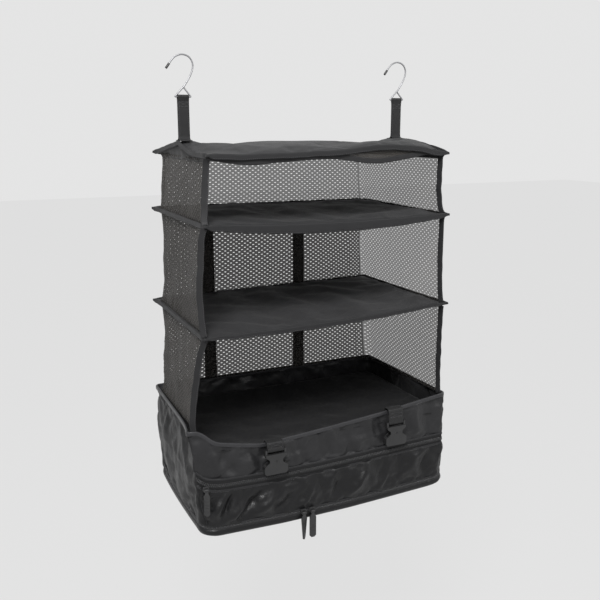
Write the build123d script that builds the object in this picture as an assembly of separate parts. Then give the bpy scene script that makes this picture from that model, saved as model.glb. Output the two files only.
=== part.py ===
from build123d import *
import os

os.makedirs("parts", exist_ok=True)

# Hanging packing cube: a zipped base bag with two mesh-sided shelves above it, hung on two wire hooks.
# Millimetres. X is the width, -Y is the open front, +Z is up. The origin lies midway between the two
# hook seats, so everything but the tops of the hooks is below zero.

# ---- levels, measured from the rim of the base bag ----
RIM_Z = -606.0
TOP_Z = RIM_Z + 450.0
UPPER_SHELF_Z = RIM_Z + 346.0
LOWER_SHELF_Z = RIM_Z + 178.0
DECK_Z = RIM_Z - 39.0
ZIP_Z = RIM_Z - 92.0
BOTTOM_Z = RIM_Z - 180.0

# ---- plan sizes ----
DEPTH = 304.0
TOP_WIDTH = 450.0
UPPER_WIDTH = 454.0
LOWER_WIDTH = 464.0
BASE_WIDTH = 492.0
BASE_DEPTH = 284.0
BASE_CORNER = 8.0

# ---- sheet thicknesses and the gap kept between neighbouring pieces ----
PANEL = 6.0
SKIN = 1.2
WALL = 2.0
MESH = 1.2
BOARD = 2.4
BOARD_INSET = 4.0
TAPE_WIDTH = 10.0
BINDING = 2.4
GAP = 0.3

# ---- hooks and hanging straps ----
HOOK_X = 206.0
WIRE_R = 1.5
HOOK_HEIGHT = 67.0
STRAP_WIDTH = 20.0
EYE_WIDTH = 17.0
WEB = 1.5
BAR_Z = WIRE_R - HOOK_HEIGHT

# ---- front edge of the rim, which sags between its corners: (x, drop) ----
RIM_SAG = ((-266, 0), (-238, 0), (-214, -21), (-129, -36), (-6, -27), (106, -17), (238, 0), (266, 0))

# ---- buckles: webbing 30 wide; (name, x, height of the pivot bar from the rim) ----
BUCKLE_WEB = 30.0
BUCKLE_Y = -150.6
FRONT_BUCKLES = (("left", -109.0, -43.0), ("right", 129.0, -33.0))
BAR_R = 1.8
EYE_R = BAR_R + 0.4
TUCK = 24.0

# ---- rear straps: (name, x) ----
REAR_STRAPS = (("left", -119.0), ("right", 76.0))
REAR_WEB = 25.0
REAR_STRAP_Y = 156.0
REAR_STRAP_END = RIM_Z - 12.0

# ---- zippers ----
TAPE_HALF = 6.7
COIL_HALF = 2.6
COIL_THICK = 2.0
FRONT_SLIDER_X = -232.0
BOTTOM_SLIDERS = (("left", -54.0), ("right", -37.0))
TRAY_HEIGHT = 6.0

# ---- loose hem strip under the top panel's front edge ----
VALANCE_HALF = 212.0
VALANCE_Y = -150.0
VALANCE_DROP = 21.0


def slab(x0, x1, y0, y1, z0, z1):
    """A box given by its limits."""
    middle = ((x0 + x1) / 2, (y0 + y1) / 2, (z0 + z1) / 2)
    return Pos(*middle) * Box(x1 - x0, y1 - y0, z1 - z0)


def rounded_slab(width, depth, radius, z0, z1):
    """A plate with rounded vertical corners, centred on the axis."""
    return Pos(0, 0, z0) * extrude(RectangleRounded(width, depth, radius), z1 - z0)


def bar_x(x, y, z, radius, length):
    """A round bar along X."""
    return Pos(x, y, z) * Rot(0, 90, 0) * Cylinder(radius, length)


def plate_xz(points, y, thickness, radius=0.0):
    """A plate standing in the XZ plane, centred on y, from its outline, with rounded corners."""
    face = make_face(Polyline(*[(px, pz) for px, pz in points], close=True))
    if radius:
        face = fillet(face.vertices(), radius)
    standing = Plane(origin=(0, y, 0), x_dir=(1, 0, 0), z_dir=(0, -1, 0))
    return extrude(standing * face, thickness / 2, both=True)


def mirrored_outline(half):
    """Closes an outline given for x >= 0, top to bottom, by its mirror image."""
    return list(half) + [(-px, pz) for px, pz in reversed(half)]


def save(node, shape):
    """Writes one named node."""
    shape.label = node
    export_step(shape, f"parts/{node}.step")


# ------------------------------------------------------------------ hooks
def hook_wire(x):
    """One steel wire: a hook above, closed below into a triangle whose flat bar carries the strap."""
    def at(px, pz, py=0.0):
        return (x + px, py, BAR_Z + pz)

    tip, bend, neck, corner = at(-26.0, 46.0), at(-20.2, 54.0), at(3.5, 18.0), at(-14.0, 0.0)
    straight = Line(tip, bend)
    loop = FilletPolyline(neck, corner, at(14.0, 0.0), at(1.0, 17.0, 3.3), radius=1.9)
    crook = Spline(
        bend,
        at(-12.0, 63.0),
        at(0.0, HOOK_HEIGHT),
        at(12.0, 62.8),
        at(18.6, 50.0),
        at(14.0, 35.5),
        neck,
        tangents=[straight % 1, loop % 0],
    )
    path = Wire([*straight.edges(), *crook.edges(), *loop.edges()])
    start = Plane(origin=tip, z_dir=straight % 0)
    return sweep(start * Circle(WIRE_R), path=path), start


for side, sign in (("left", -1), ("right", 1)):
    wire, tip_plane = hook_wire(sign * HOOK_X)
    save(f"{side}_hook", wire)
    sleeve = tip_plane * Pos(0, 0, 3.0) * Cylinder(2.6, 8.0)
    nose = tip_plane * Pos(0, 0, -1.0) * Sphere(2.6)
    bore = tip_plane * Pos(0, 0, 4.0) * Cylinder(WIRE_R + 0.05, 8.1)
    save(f"{side}_hook_tip", sleeve + nose - bore)

# ------------------------------------------------------------------ hanging straps
strap_foot_z = TOP_Z + GAP
for side, sign in (("left", -1), ("right", 1)):
    x = sign * HOOK_X
    x0, x1 = x - STRAP_WIDTH / 2, x + STRAP_WIDTH / 2
    inner = WIRE_R + 0.4
    loop = bar_x(x, 0, BAR_Z, inner + WEB, EYE_WIDTH)
    run = slab(x0, x1, -WEB, WEB, strap_foot_z, BAR_Z - inner)
    foot = slab(x0, x1, -WEB, 26, strap_foot_z, strap_foot_z + WEB)
    eye = bar_x(x, 0, BAR_Z, inner, STRAP_WIDTH + 2)
    save(f"{side}_hanging_strap", loop + run + foot - eye)


# ------------------------------------------------------------------ covered boards: top panel and shelves
def covered_board(name, width, top_z):
    """A sewn fabric sleeve with a plastic board inside it."""
    sleeve = slab(-width / 2, width / 2, -DEPTH / 2, DEPTH / 2, top_z - PANEL, top_z)
    inside = slab(
        -width / 2 + SKIN, width / 2 - SKIN,
        -DEPTH / 2 + SKIN, DEPTH / 2 - SKIN,
        top_z - PANEL + SKIN, top_z - SKIN,
    )
    board = slab(
        -width / 2 + BOARD_INSET, width / 2 - BOARD_INSET,
        -DEPTH / 2 + BOARD_INSET, DEPTH / 2 - BOARD_INSET,
        top_z - PANEL / 2 - BOARD / 2, top_z - PANEL / 2 + BOARD / 2,
    )
    save(f"{name}_cover", sleeve - inside)
    save(f"{name}_board", board)


def edging(name, width, top_z, front_drop):
    """The folded tape bound around a board's edge, deeper along the front."""
    out = BINDING
    low = top_z - PANEL - BINDING / 2
    high = top_z + BINDING / 2
    ring = slab(-width / 2 - out, width / 2 + out, -DEPTH / 2 - out, DEPTH / 2 + out, low, high)
    hole = slab(
        -width / 2 - GAP, width / 2 + GAP, -DEPTH / 2 - GAP, DEPTH / 2 + GAP, low - 1, high + 1
    )
    front = slab(
        -width / 2 - out, width / 2 + out,
        -DEPTH / 2 - out, -DEPTH / 2 - GAP,
        top_z - front_drop, high,
    )
    save(f"{name}_edging", ring - hole + front)


covered_board("top_panel", TOP_WIDTH, TOP_Z)
covered_board("upper_shelf", UPPER_WIDTH, UPPER_SHELF_Z)
covered_board("lower_shelf", LOWER_WIDTH, LOWER_SHELF_Z)
edging("top_panel", TOP_WIDTH, TOP_Z, 8.0)
edging("upper_shelf", UPPER_WIDTH, UPPER_SHELF_Z, 14.0)
edging("lower_shelf", LOWER_WIDTH, LOWER_SHELF_Z, 9.0)

save(
    "top_valance",
    slab(
        -VALANCE_HALF, VALANCE_HALF, VALANCE_Y - MESH / 2, VALANCE_Y + MESH / 2,
        TOP_Z - VALANCE_DROP, TOP_Z - PANEL - GAP,
    ),
)

# ------------------------------------------------------------------ mesh walls and their front tapes
TIERS = (
    ("upper", 217.0, UPPER_SHELF_Z + GAP, TOP_Z - PANEL - GAP),
    ("middle", 224.0, LOWER_SHELF_Z + GAP, UPPER_SHELF_Z - PANEL - GAP),
    ("lower", 231.0, RIM_Z + 2.6, LOWER_SHELF_Z - PANEL - GAP),
)
wall_back = DEPTH / 2 - 5
for tier, half_width, low, high in TIERS:
    # the bottom tier stands on the base bag, whose back is nearer the front
    back = wall_back if tier != "lower" else BASE_DEPTH / 2 - 5
    front = -back + 1
    for side, sign in (("left", -1), ("right", 1)):
        outer, inner = sorted((sign * half_width, sign * (half_width - MESH)))
        save(
            f"{tier}_{side}_mesh",
            slab(outer, inner, front + TAPE_WIDTH + GAP, back - MESH - GAP, low, high),
        )
        tape_outer, tape_inner = sorted((sign * (half_width + 0.8), sign * (half_width - 2.0)))
        save(
            f"{tier}_{side}_tape",
            slab(tape_outer, tape_inner, front, front + TAPE_WIDTH, low, high),
        )
    save(f"{tier}_back_mesh", slab(-half_width, half_width, back - MESH, back, low, high))

# ------------------------------------------------------------------ base bag
coil_low = BOTTOM_Z + TRAY_HEIGHT + GAP
coil_high = coil_low + 3.7
base_ring = rounded_slab(BASE_WIDTH, BASE_DEPTH, BASE_CORNER, coil_high + GAP, RIM_Z - 3.3)
base_ring -= rounded_slab(
    BASE_WIDTH - 2 * WALL, BASE_DEPTH - 2 * WALL, BASE_CORNER - WALL, coil_high - 1, RIM_Z
)
face_x = BASE_WIDTH / 2 - BASE_CORNER
front_y = -BASE_DEPTH / 2
sag = [(px, RIM_Z + drop) for px, drop in RIM_SAG]


def under_sag(drop):
    """A tall plate at the front below the sagging rim line, lowered by drop."""
    outline = [(px, pz - drop) for px, pz in sag] + [(266, BOTTOM_Z), (-266, BOTTOM_Z)]
    return plate_xz(outline, front_y + 10, 30)


front_wall = base_ring & slab(-face_x, face_x, front_y - 1, front_y + 5, BOTTOM_Z, RIM_Z)
front_wall &= under_sag(3.3)
save(
    "base_front_upper",
    front_wall & slab(-250, 250, front_y - 1, front_y + 5, ZIP_Z + TAPE_HALF + GAP, RIM_Z),
)
save(
    "base_front_lower",
    front_wall & slab(-250, 250, front_y - 1, front_y + 5, BOTTOM_Z, ZIP_Z - TAPE_HALF - GAP),
)
save(
    "base_back_wall",
    base_ring & slab(-face_x, face_x, -front_y - 5, -front_y + 1, BOTTOM_Z, RIM_Z),
)
for side, sign in (("left", -1), ("right", 1)):
    x0, x1 = sorted((sign * (face_x + GAP), sign * (BASE_WIDTH / 2 + 1)))
    corner_and_side = base_ring & slab(x0, x1, -200, 200, BOTTOM_Z, RIM_Z)
    corner_and_side &= slab(x0, x1, front_y + BASE_CORNER, 200, BOTTOM_Z, RIM_Z) + under_sag(3.3)
    save(f"base_{side}_wall", corner_and_side)

# rim tape: level at the sides and back, sagging across the front
rim_out, rim_in = BINDING, 5.0
rim_low, rim_high = -3.0, 2.2
rim_ring = rounded_slab(
    BASE_WIDTH + 2 * rim_out, BASE_DEPTH + 2 * rim_out, BASE_CORNER + rim_out,
    RIM_Z + rim_low, RIM_Z + rim_high,
)
rim_ring -= rounded_slab(
    BASE_WIDTH - 2 * rim_in, BASE_DEPTH - 2 * rim_in, BASE_CORNER - rim_in, RIM_Z - 9, RIM_Z + 9
)
rim_level = rim_ring & slab(-300, 300, front_y + BASE_CORNER, 300, RIM_Z - 20, RIM_Z + 20)
front_ring = rounded_slab(
    BASE_WIDTH + 2 * rim_out, BASE_DEPTH + 2 * rim_out, BASE_CORNER + rim_out, RIM_Z - 60, RIM_Z + 9
)
front_ring -= rounded_slab(
    BASE_WIDTH - 2 * rim_in, BASE_DEPTH - 2 * rim_in, BASE_CORNER - rim_in, RIM_Z - 61, RIM_Z + 10
)
band = [(px, pz + rim_high) for px, pz in sag]
band += [(px, pz + rim_low) for px, pz in reversed(sag)]
sag_band = plate_xz(band, front_y + 10, 40)
rim_front = front_ring & sag_band & slab(
    -300, 300, front_y - 10, front_y + BASE_CORNER, RIM_Z - 60, RIM_Z + 9
)
save("rim_tape", rim_level + rim_front)

# the inner deck that closes the bag on top and carries the lowest tier's contents
save(
    "deck",
    rounded_slab(
        BASE_WIDTH - 2 * WALL - 2 * GAP, BASE_DEPTH - 2 * WALL - 2 * GAP, BASE_CORNER - WALL - GAP,
        DECK_Z - 1.5, DECK_Z,
    ),
)

# ------------------------------------------------------------------ front zipper
zip_half = face_x - GAP
save(
    "front_zip_tape",
    slab(-zip_half, zip_half, front_y, front_y + MESH, ZIP_Z - TAPE_HALF, ZIP_Z + TAPE_HALF),
)
save(
    "front_zip_coil",
    slab(
        -zip_half, zip_half, front_y - GAP - COIL_THICK, front_y - GAP, ZIP_Z - COIL_HALF, ZIP_Z + COIL_HALF
    ),
)


def slider(x, z):
    """A zip slider outside the coil: a shield, two cheeks and the pin that carries the pull."""
    face = front_y - GAP - COIL_THICK - GAP
    shield = slab(x - 5, x + 5, face - 2.2, face, z - 4.5, z + 4.5)
    shield = fillet(shield.edges().filter_by(Axis.Y), 2.0)
    cheeks = Part()
    for sign in (-1, 1):
        cheeks += Pos(x + sign * 3.6, face - 4.0, z - 1.0) * Box(1.2, 4.6, 5.0)
    pin = bar_x(x, face - 5.0, z - 1.0, 0.8, 7.6)
    return shield + cheeks + pin, (x, face - 5.0, z - 1.0)


def pull_tab(pivot, width, length):
    """A moulded tab hanging from an eye around the slider's pin."""
    px, py, pz = pivot
    eye = bar_x(px, py, pz, 2.2, 5.4)
    neck = slab(px - 2.7, px + 2.7, py - 1.2, py + 1.2, pz - 8, pz - 1.0)
    outline = mirrored_outline([
        (2.9, -6.0), (width / 2, -11.0), (width / 2, 3.0 - length), (width / 2 - 3.0, -length)
    ])
    outline = [(px + ox, pz + oz) for ox, oz in outline]
    tab = plate_xz(outline, py, 2.8, 1.2)
    grips = Part()
    for step in range(4):
        z = pz - 18 - 6.0 * step
        grips += slab(px - width / 2 + 1.6, px + width / 2 - 1.6, py - 1.8, py - 1.0, z - 1.0, z + 1.0)
    hole = bar_x(px, py, pz, 1.0, 8)
    return eye + neck + tab + grips - hole


body, pivot = slider(FRONT_SLIDER_X, ZIP_Z)
save("front_zip_slider", body)
save("front_zip_pull", pull_tab(pivot, 10.0, 46.0))

# ------------------------------------------------------------------ bottom panel and its zipper
coil = rounded_slab(BASE_WIDTH, BASE_DEPTH, BASE_CORNER, coil_low, coil_high)
coil -= rounded_slab(
    BASE_WIDTH - 2 * WALL, BASE_DEPTH - 2 * WALL, BASE_CORNER - WALL, coil_low - 1, coil_high + 1
)
coil &= slab(-260, 260, -160, -front_y - BASE_CORNER, BOTTOM_Z, RIM_Z)
save("bottom_zip_coil", coil)

tray = rounded_slab(BASE_WIDTH, BASE_DEPTH, BASE_CORNER, BOTTOM_Z, BOTTOM_Z + TRAY_HEIGHT)
tray -= rounded_slab(
    BASE_WIDTH - 2 * WALL, BASE_DEPTH - 2 * WALL, BASE_CORNER - WALL,
    BOTTOM_Z + WALL, BOTTOM_Z + TRAY_HEIGHT + 1,
)
save("bottom_panel", tray)
board_margin = WALL + 3.0
board_low = BOTTOM_Z + WALL + GAP
save(
    "bottom_board",
    rounded_slab(
        BASE_WIDTH - 2 * board_margin, BASE_DEPTH - 2 * board_margin, BASE_CORNER - board_margin,
        board_low, board_low + 1.8,
    ),
)
for side, x in BOTTOM_SLIDERS:
    body, pivot = slider(x, (coil_low + coil_high) / 2)
    save(f"bottom_{side}_slider", body)
    save(f"bottom_{side}_pull", pull_tab(pivot, 12.0, 50.0))


# ------------------------------------------------------------------ front buckles: the socket halves
def rim_drop(x):
    """How far the rim line lies below its corners at x."""
    for (xa, da), (xb, db) in zip(RIM_SAG, RIM_SAG[1:]):
        if xa <= x <= xb:
            return da + (db - da) * (x - xa) / (xb - xa)
    return 0.0


def buckle_frame(x, y, z, thickness):
    """The webbing end shared by both halves: two arms and the round bar between them."""
    frame = Part()
    for sign in (-1, 1):
        frame += Pos(x + sign * 17.4, y, z - 4.0) * Box(3.4, thickness, 11.6)
    return frame + bar_x(x, y, z, BAR_R, 36)


def socket_half(x, y, z):
    """The socket: a waisted sleeve, open at its mouth and at both sides of the waist."""
    outline = mirrored_outline([
        (19.1, -6.0), (19.1, -10.0),
        (12.2, -16.0), (12.2, -21.0),
        (21.4, -28.0), (21.4, -38.5), (18.5, -42.5),
    ])
    outline = [(x + ox, z + oz) for ox, oz in outline]
    sleeve = plate_xz(outline, y, 11.0, 1.4)
    sleeve -= slab(x - 17.6, x + 17.6, y - 3.4, y + 3.4, z - 43.0, z - 12.0)
    sleeve -= Pos(x, y - 6.0, z - 18.5) * Rot(90, 0, 0) * Cylinder(2.0, 3.0)
    return buckle_frame(x, y, z, 6.0) + sleeve


for side, x, drop in FRONT_BUCKLES:
    z = RIM_Z + drop
    save(f"{side}_front_buckle", socket_half(x, BUCKLE_Y, z))
    crest = RIM_Z + max(rim_drop(x - BUCKLE_WEB / 2), rim_drop(x + BUCKLE_WEB / 2)) + 3.0
    x0, x1 = x - BUCKLE_WEB / 2, x + BUCKLE_WEB / 2
    inside_y = front_y + 9.0
    tuck_z = max(DECK_Z + 0.5, crest - TUCK)
    web = bar_x(x, BUCKLE_Y, z, EYE_R + WEB, BUCKLE_WEB)
    web += slab(x0, x1, BUCKLE_Y - WEB, BUCKLE_Y + WEB, z + EYE_R, crest + WEB)
    web += slab(x0, x1, BUCKLE_Y - WEB, inside_y, crest, crest + WEB)
    web += slab(x0, x1, inside_y - WEB, inside_y, tuck_z, crest + WEB)
    web -= bar_x(x, BUCKLE_Y, z, EYE_R, BUCKLE_WEB + 2)
    save(f"{side}_front_webbing", web)


# ------------------------------------------------------------------ rear straps and their plug halves
def plug_half(x, y, z):
    """The plug: two sprung prongs and a guide tongue below a webbing frame."""
    collar = plate_xz(
        [(x + ox, z + oz) for ox, oz in mirrored_outline([(19.1, -6.0), (19.1, -13.0), (15.5, -17.0)])],
        y, 6.0,
    )
    tongue = plate_xz(
        [(x + ox, z + oz) for ox, oz in mirrored_outline([(3.2, -16.0), (3.2, -38.0), (1.8, -41.0)])],
        y, 5.0,
    )
    plug = buckle_frame(x, y, z, 6.0) + collar + tongue
    prong = [
        (9.5, -16.0), (14.5, -16.0), (16.5, -24.0), (20.5, -29.0),
        (18.0, -40.0), (13.0, -42.5), (11.5, -32.0),
    ]
    for sign in (-1, 1):
        plug += plate_xz([(x + sign * ox, z + oz) for ox, oz in prong], y, 5.6)
    return plug


for side, x in REAR_STRAPS:
    z = REAR_STRAP_END
    save(f"{side}_rear_buckle", plug_half(x, REAR_STRAP_Y, z))
    x0, x1 = x - REAR_WEB / 2, x + REAR_WEB / 2
    sewn_y = DEPTH / 2 + BINDING + GAP
    web = bar_x(x, REAR_STRAP_Y, z, EYE_R + WEB, REAR_WEB)
    web += slab(x0, x1, REAR_STRAP_Y - WEB / 2, REAR_STRAP_Y + WEB / 2, z + EYE_R, UPPER_SHELF_Z - 2)
    web += slab(x0, x1, sewn_y, REAR_STRAP_Y + WEB / 2, UPPER_SHELF_Z - 6, UPPER_SHELF_Z - 2)
    web -= bar_x(x, REAR_STRAP_Y, z, EYE_R, REAR_WEB + 2)
    save(f"{side}_rear_strap", web)
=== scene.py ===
import math

import bmesh
import bpy
import numpy as np
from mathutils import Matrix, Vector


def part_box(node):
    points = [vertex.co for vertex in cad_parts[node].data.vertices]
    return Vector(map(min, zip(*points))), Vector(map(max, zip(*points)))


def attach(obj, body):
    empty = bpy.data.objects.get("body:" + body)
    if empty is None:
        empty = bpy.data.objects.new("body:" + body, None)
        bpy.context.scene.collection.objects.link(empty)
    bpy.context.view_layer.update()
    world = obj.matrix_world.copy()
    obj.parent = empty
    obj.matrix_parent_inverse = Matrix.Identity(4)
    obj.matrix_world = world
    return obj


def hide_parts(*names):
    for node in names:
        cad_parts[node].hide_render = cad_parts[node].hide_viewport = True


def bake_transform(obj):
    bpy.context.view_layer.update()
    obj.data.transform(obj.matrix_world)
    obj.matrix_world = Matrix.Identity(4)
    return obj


# A hanging packing cube: wire hooks, a covered top panel, two covered shelves, mesh walls between them
# and a zipped base bag. Lengths below are millimetres in the frame's own axes; meshes are made in metres.
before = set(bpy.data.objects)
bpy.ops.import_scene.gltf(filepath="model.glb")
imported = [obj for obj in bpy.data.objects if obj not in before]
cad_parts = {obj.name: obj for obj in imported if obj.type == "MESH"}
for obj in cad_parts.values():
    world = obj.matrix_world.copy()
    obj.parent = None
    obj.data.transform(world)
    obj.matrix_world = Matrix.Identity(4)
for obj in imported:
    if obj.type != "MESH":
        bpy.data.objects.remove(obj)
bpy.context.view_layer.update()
MM = 0.001


def limits(node):
    """Lowest and highest corner of a CAD node, in millimetres."""
    low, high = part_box(node)
    return np.array(low) / MM, np.array(high) / MM


# ---- levels and sizes read from the frame ----
RIM = limits("rim_tape")[1][2] - 2.2
BOTTOM = limits("bottom_panel")[0][2]
DECK = limits("deck")[1][2]
ZIP = (limits("front_zip_coil")[0][2] + limits("front_zip_coil")[1][2]) / 2
ZIP_FACE = limits("front_zip_tape")[0][1]
ZIP_END = limits("front_zip_coil")[1][0]
BASE_X = limits("base_right_wall")[1][0]
BASE_Y = limits("base_back_wall")[1][1]
PANELS = {name: limits(f"{name}_cover") for name in ("top_panel", "upper_shelf", "lower_shelf")}
STRAP_X = limits("right_hanging_strap")[0][0] + 10
# each tier of mesh, with the body above it and the body below it
TIERS = {
    "upper": ("top_panel", "upper_shelf"),
    "middle": ("upper_shelf", "lower_shelf"),
    "lower": ("lower_shelf", "base_bag"),
}

# ---- thicknesses ----
BAG_CLOTH = 0.9
TRAY_CLOTH = 1.1
KNIT = 0.45
WEB = 1.4
PLATE = 1.8

# ---- shapes that only the cloth has ----
# how far a board's edges draw in between its corners, and how far its corners stop short
WAIST = 5.0
EAR_INSET = {"top_panel": 4.0, "upper_shelf": 0.0, "lower_shelf": 0.0}
# rise of the top panel along its middle, and the further rise under each strap
RIDGE = 13.5
STRAP_TENT = 7.0
# how far each board sags at the middle of its front edge, and the depth of its hem at the ends and middle
SAG = {"top_panel": 0.0, "upper_shelf": 6.0, "lower_shelf": 5.0}
HEM = {"top_panel": (8.5, 8.5), "upper_shelf": (9.0, 16.5), "lower_shelf": (5.5, 8.5)}
BINDING = 8.6
# how far each corner hangs from level: front left, front right, back left, back right
DROOP = {"top_panel": (0, 0, -1, 0), "upper_shelf": (-1, -3, 0, -2), "lower_shelf": (-12, 4, -7, 2)}
# height of the top panel's front edge from level, from left to right
FRONT_LIFT = ((-225, 3), (-165, 0), (-64, 2), (17, 5), (82, 12), (121, 12), (161, 9), (202, 1), (225, 0))
# lower edge of the hem strip under it, from left to right
VALANCE_LINE = (
    (-215, -7), (-164, -15), (-135, -16.5), (-111, -14), (-45, -10), (0, -9),
    (28, -12), (65, -18), (95, -18), (124, -14), (163, -8), (186, -4),
)
# heights across the bag's front from level, from left to right: its rim, its zip and its foot
RIM_SAG = ((-238, 0), (-214, -21), (-129, -36), (-6, -27), (106, -17), (238, 0))
ZIP_LINE = ((-262, 38), (-248, 20), (-234, 5), (-205, -1), (-130, -3), (-30, -3), (74, 0), (159, 3), (235, 4))
FOOT_LINE = ((-262, 0), (-200, -1), (-90, -4), (40, -3), (150, 1), (222, 4), (262, 11))
# the mesh's holes: half their pitch along a row, the pitch of rows, and half a hole as a share of each
HOLE_HALF_PITCH = 5.6
HOLE_ROW = 4.1
HOLE_HALF = (0.33, 0.24)


# ------------------------------------------------------------------ numbers
def smooth(t):
    """Smoothstep from 0 to 1."""
    t = np.clip(t, 0.0, 1.0)
    return t * t * (3 - 2 * t)


def unit(v):
    """Vectors of length one in the same directions."""
    return v / np.maximum(np.linalg.norm(v, axis=-1, keepdims=True), 1e-9)


def waves(points, length, seed):
    """Smooth irregular heights, about -1 to 1, at 3-D points; length is the usual wavelength."""
    terms = 8
    rng = np.random.default_rng(seed)
    total = np.zeros(len(points))
    for direction in unit(rng.normal(size=(terms, 3))):
        rate = 2 * math.pi / (length * rng.uniform(0.65, 1.5))
        total += np.sin(points @ direction * rate + rng.uniform(0, 2 * math.pi))
    return total / math.sqrt(terms)


def soft_line(x, knots):
    """Value at x of a line through (place, value) knots, with its corners softened."""
    radius = 9
    places = np.arange(knots[0][0] - 20, knots[-1][0] + 21, 2.0)
    line = np.interp(places, *zip(*knots))
    window = np.hanning(2 * radius + 1)
    softer = np.convolve(np.pad(line, radius, mode="edge"), window / window.sum(), "valid")
    return np.interp(x, places, softer)


def spread(a, b, count):
    """count points from a to b, as an array of points."""
    return np.array(a, float) + np.linspace(0, 1, count)[:, None] * (np.array(b, float) - np.array(a, float))


def curve_through(points, per_span=8):
    """A smooth Catmull-Rom line through a few given points."""
    p = np.array(points, float)
    p = np.vstack([2 * p[0] - p[1], p, 2 * p[-1] - p[-2]])
    t = np.linspace(0, 1, per_span, endpoint=False)[:, None]
    spans = []
    for a, b, c, d in zip(p, p[1:], p[2:], p[3:]):
        square, cube = 2 * a - 5 * b + 4 * c - d, 3 * b - a - 3 * c + d
        spans.append(0.5 * (2 * b + (c - a) * t + square * t**2 + cube * t**3))
    return np.vstack([*spans, p[-2:-1]])


def resampled(path, step):
    """The same line with evenly spaced points."""
    along = np.concatenate([[0], np.cumsum(np.linalg.norm(np.diff(path, axis=0), axis=1))])
    at = np.linspace(0, along[-1], max(2, int(round(along[-1] / step)) + 1))
    return np.column_stack([np.interp(at, along, path[:, k]) for k in range(path.shape[1])])


# ------------------------------------------------------------------ meshes
def build(name, points, faces, material, uv=None):
    """A smooth-shaded mesh object from points in millimetres; uv is per point or per face corner."""
    mesh = bpy.data.meshes.new(name)
    mesh.from_pydata((np.asarray(points, float) * MM).tolist(), [], [list(map(int, f)) for f in faces])
    if uv is not None:
        layer = mesh.uv_layers.new(name="cloth")
        uv = np.asarray(uv, float) * MM
        if len(uv) == len(mesh.vertices):
            corner = np.empty(len(mesh.loops), int)
            mesh.loops.foreach_get("vertex_index", corner)
            uv = uv[corner]
        layer.data.foreach_set("uv", uv.ravel())
    mesh.materials.append(material)
    mesh.polygons.foreach_set("use_smooth", [True] * len(mesh.polygons))
    obj = bpy.data.objects.new(name, mesh)
    bpy.context.scene.collection.objects.link(obj)
    return obj


def applied(obj):
    """Makes an object's modifiers part of its mesh."""
    graph = bpy.context.evaluated_depsgraph_get()
    mesh = bpy.data.meshes.new_from_object(
        obj.evaluated_get(graph), preserve_all_data_layers=True, depsgraph=graph
    )
    obj.modifiers.clear()
    obj.data = mesh


def thickened(obj, thickness, subdivide=0):
    """Gives an open sheet its thickness, equally on both sides, after making its grid finer if asked."""
    if subdivide:
        finer = obj.modifiers.new("Finer", "SUBSURF")
        finer.levels = finer.render_levels = subdivide
    shell = obj.modifiers.new("Shell", "SOLIDIFY")
    shell.thickness = thickness * MM
    shell.offset = 0.0
    applied(obj)


def grid_faces(rows, columns, closed=False):
    """Quads of a grid whose points run row by row."""
    r, c = np.meshgrid(np.arange(rows - 1), np.arange(columns if closed else columns - 1), indexing="ij")
    right = (c + 1) % columns
    this_row, next_row = r * columns, (r + 1) * columns
    return np.stack([this_row + c, this_row + right, next_row + right, next_row + c], -1).reshape(-1, 4)


def grid_uv(grid):
    """Cloth coordinates of a grid of points: lengths along its middle row and middle column."""
    rows, columns, _ = grid.shape
    along = np.linalg.norm(np.diff(grid[rows // 2], axis=0), axis=1)
    up = np.linalg.norm(np.diff(grid[:, columns // 2], axis=0), axis=1)
    u, v = np.meshgrid(np.concatenate([[0], np.cumsum(along)]), np.concatenate([[0], np.cumsum(up)]))
    return np.stack([u, v], -1).reshape(-1, 2)


def grid_sheet(name, grid, material, thickness, subdivide=0):
    """A sheet of cloth from a grid of points."""
    points = grid.reshape(-1, 3)
    piece = build(name, points, grid_faces(*grid.shape[:2]), material, grid_uv(grid))
    thickened(piece, thickness, subdivide)
    return piece


def flat_profile(width, thickness, spans=6):
    """Outline of a webbing or tape section as (across, out) pairs, with rounded edges."""
    w, t = width / 2, thickness / 2
    edge = [(w - t + t * math.cos(a), t * math.sin(a)) for a in np.linspace(-math.pi / 2, math.pi / 2, 5)]
    top = [(x, t) for x in np.linspace(w - t, -w + t, spans + 1)[1:-1]]
    half = edge + top
    return np.array(half + [(-x, -y) for x, y in half])


def round_profile(radius, sides=10):
    """Outline of a round section as (across, out) pairs."""
    turn = np.linspace(0, 2 * math.pi, sides, endpoint=False)
    return radius * np.column_stack([np.cos(turn), np.sin(turn)])


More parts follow.
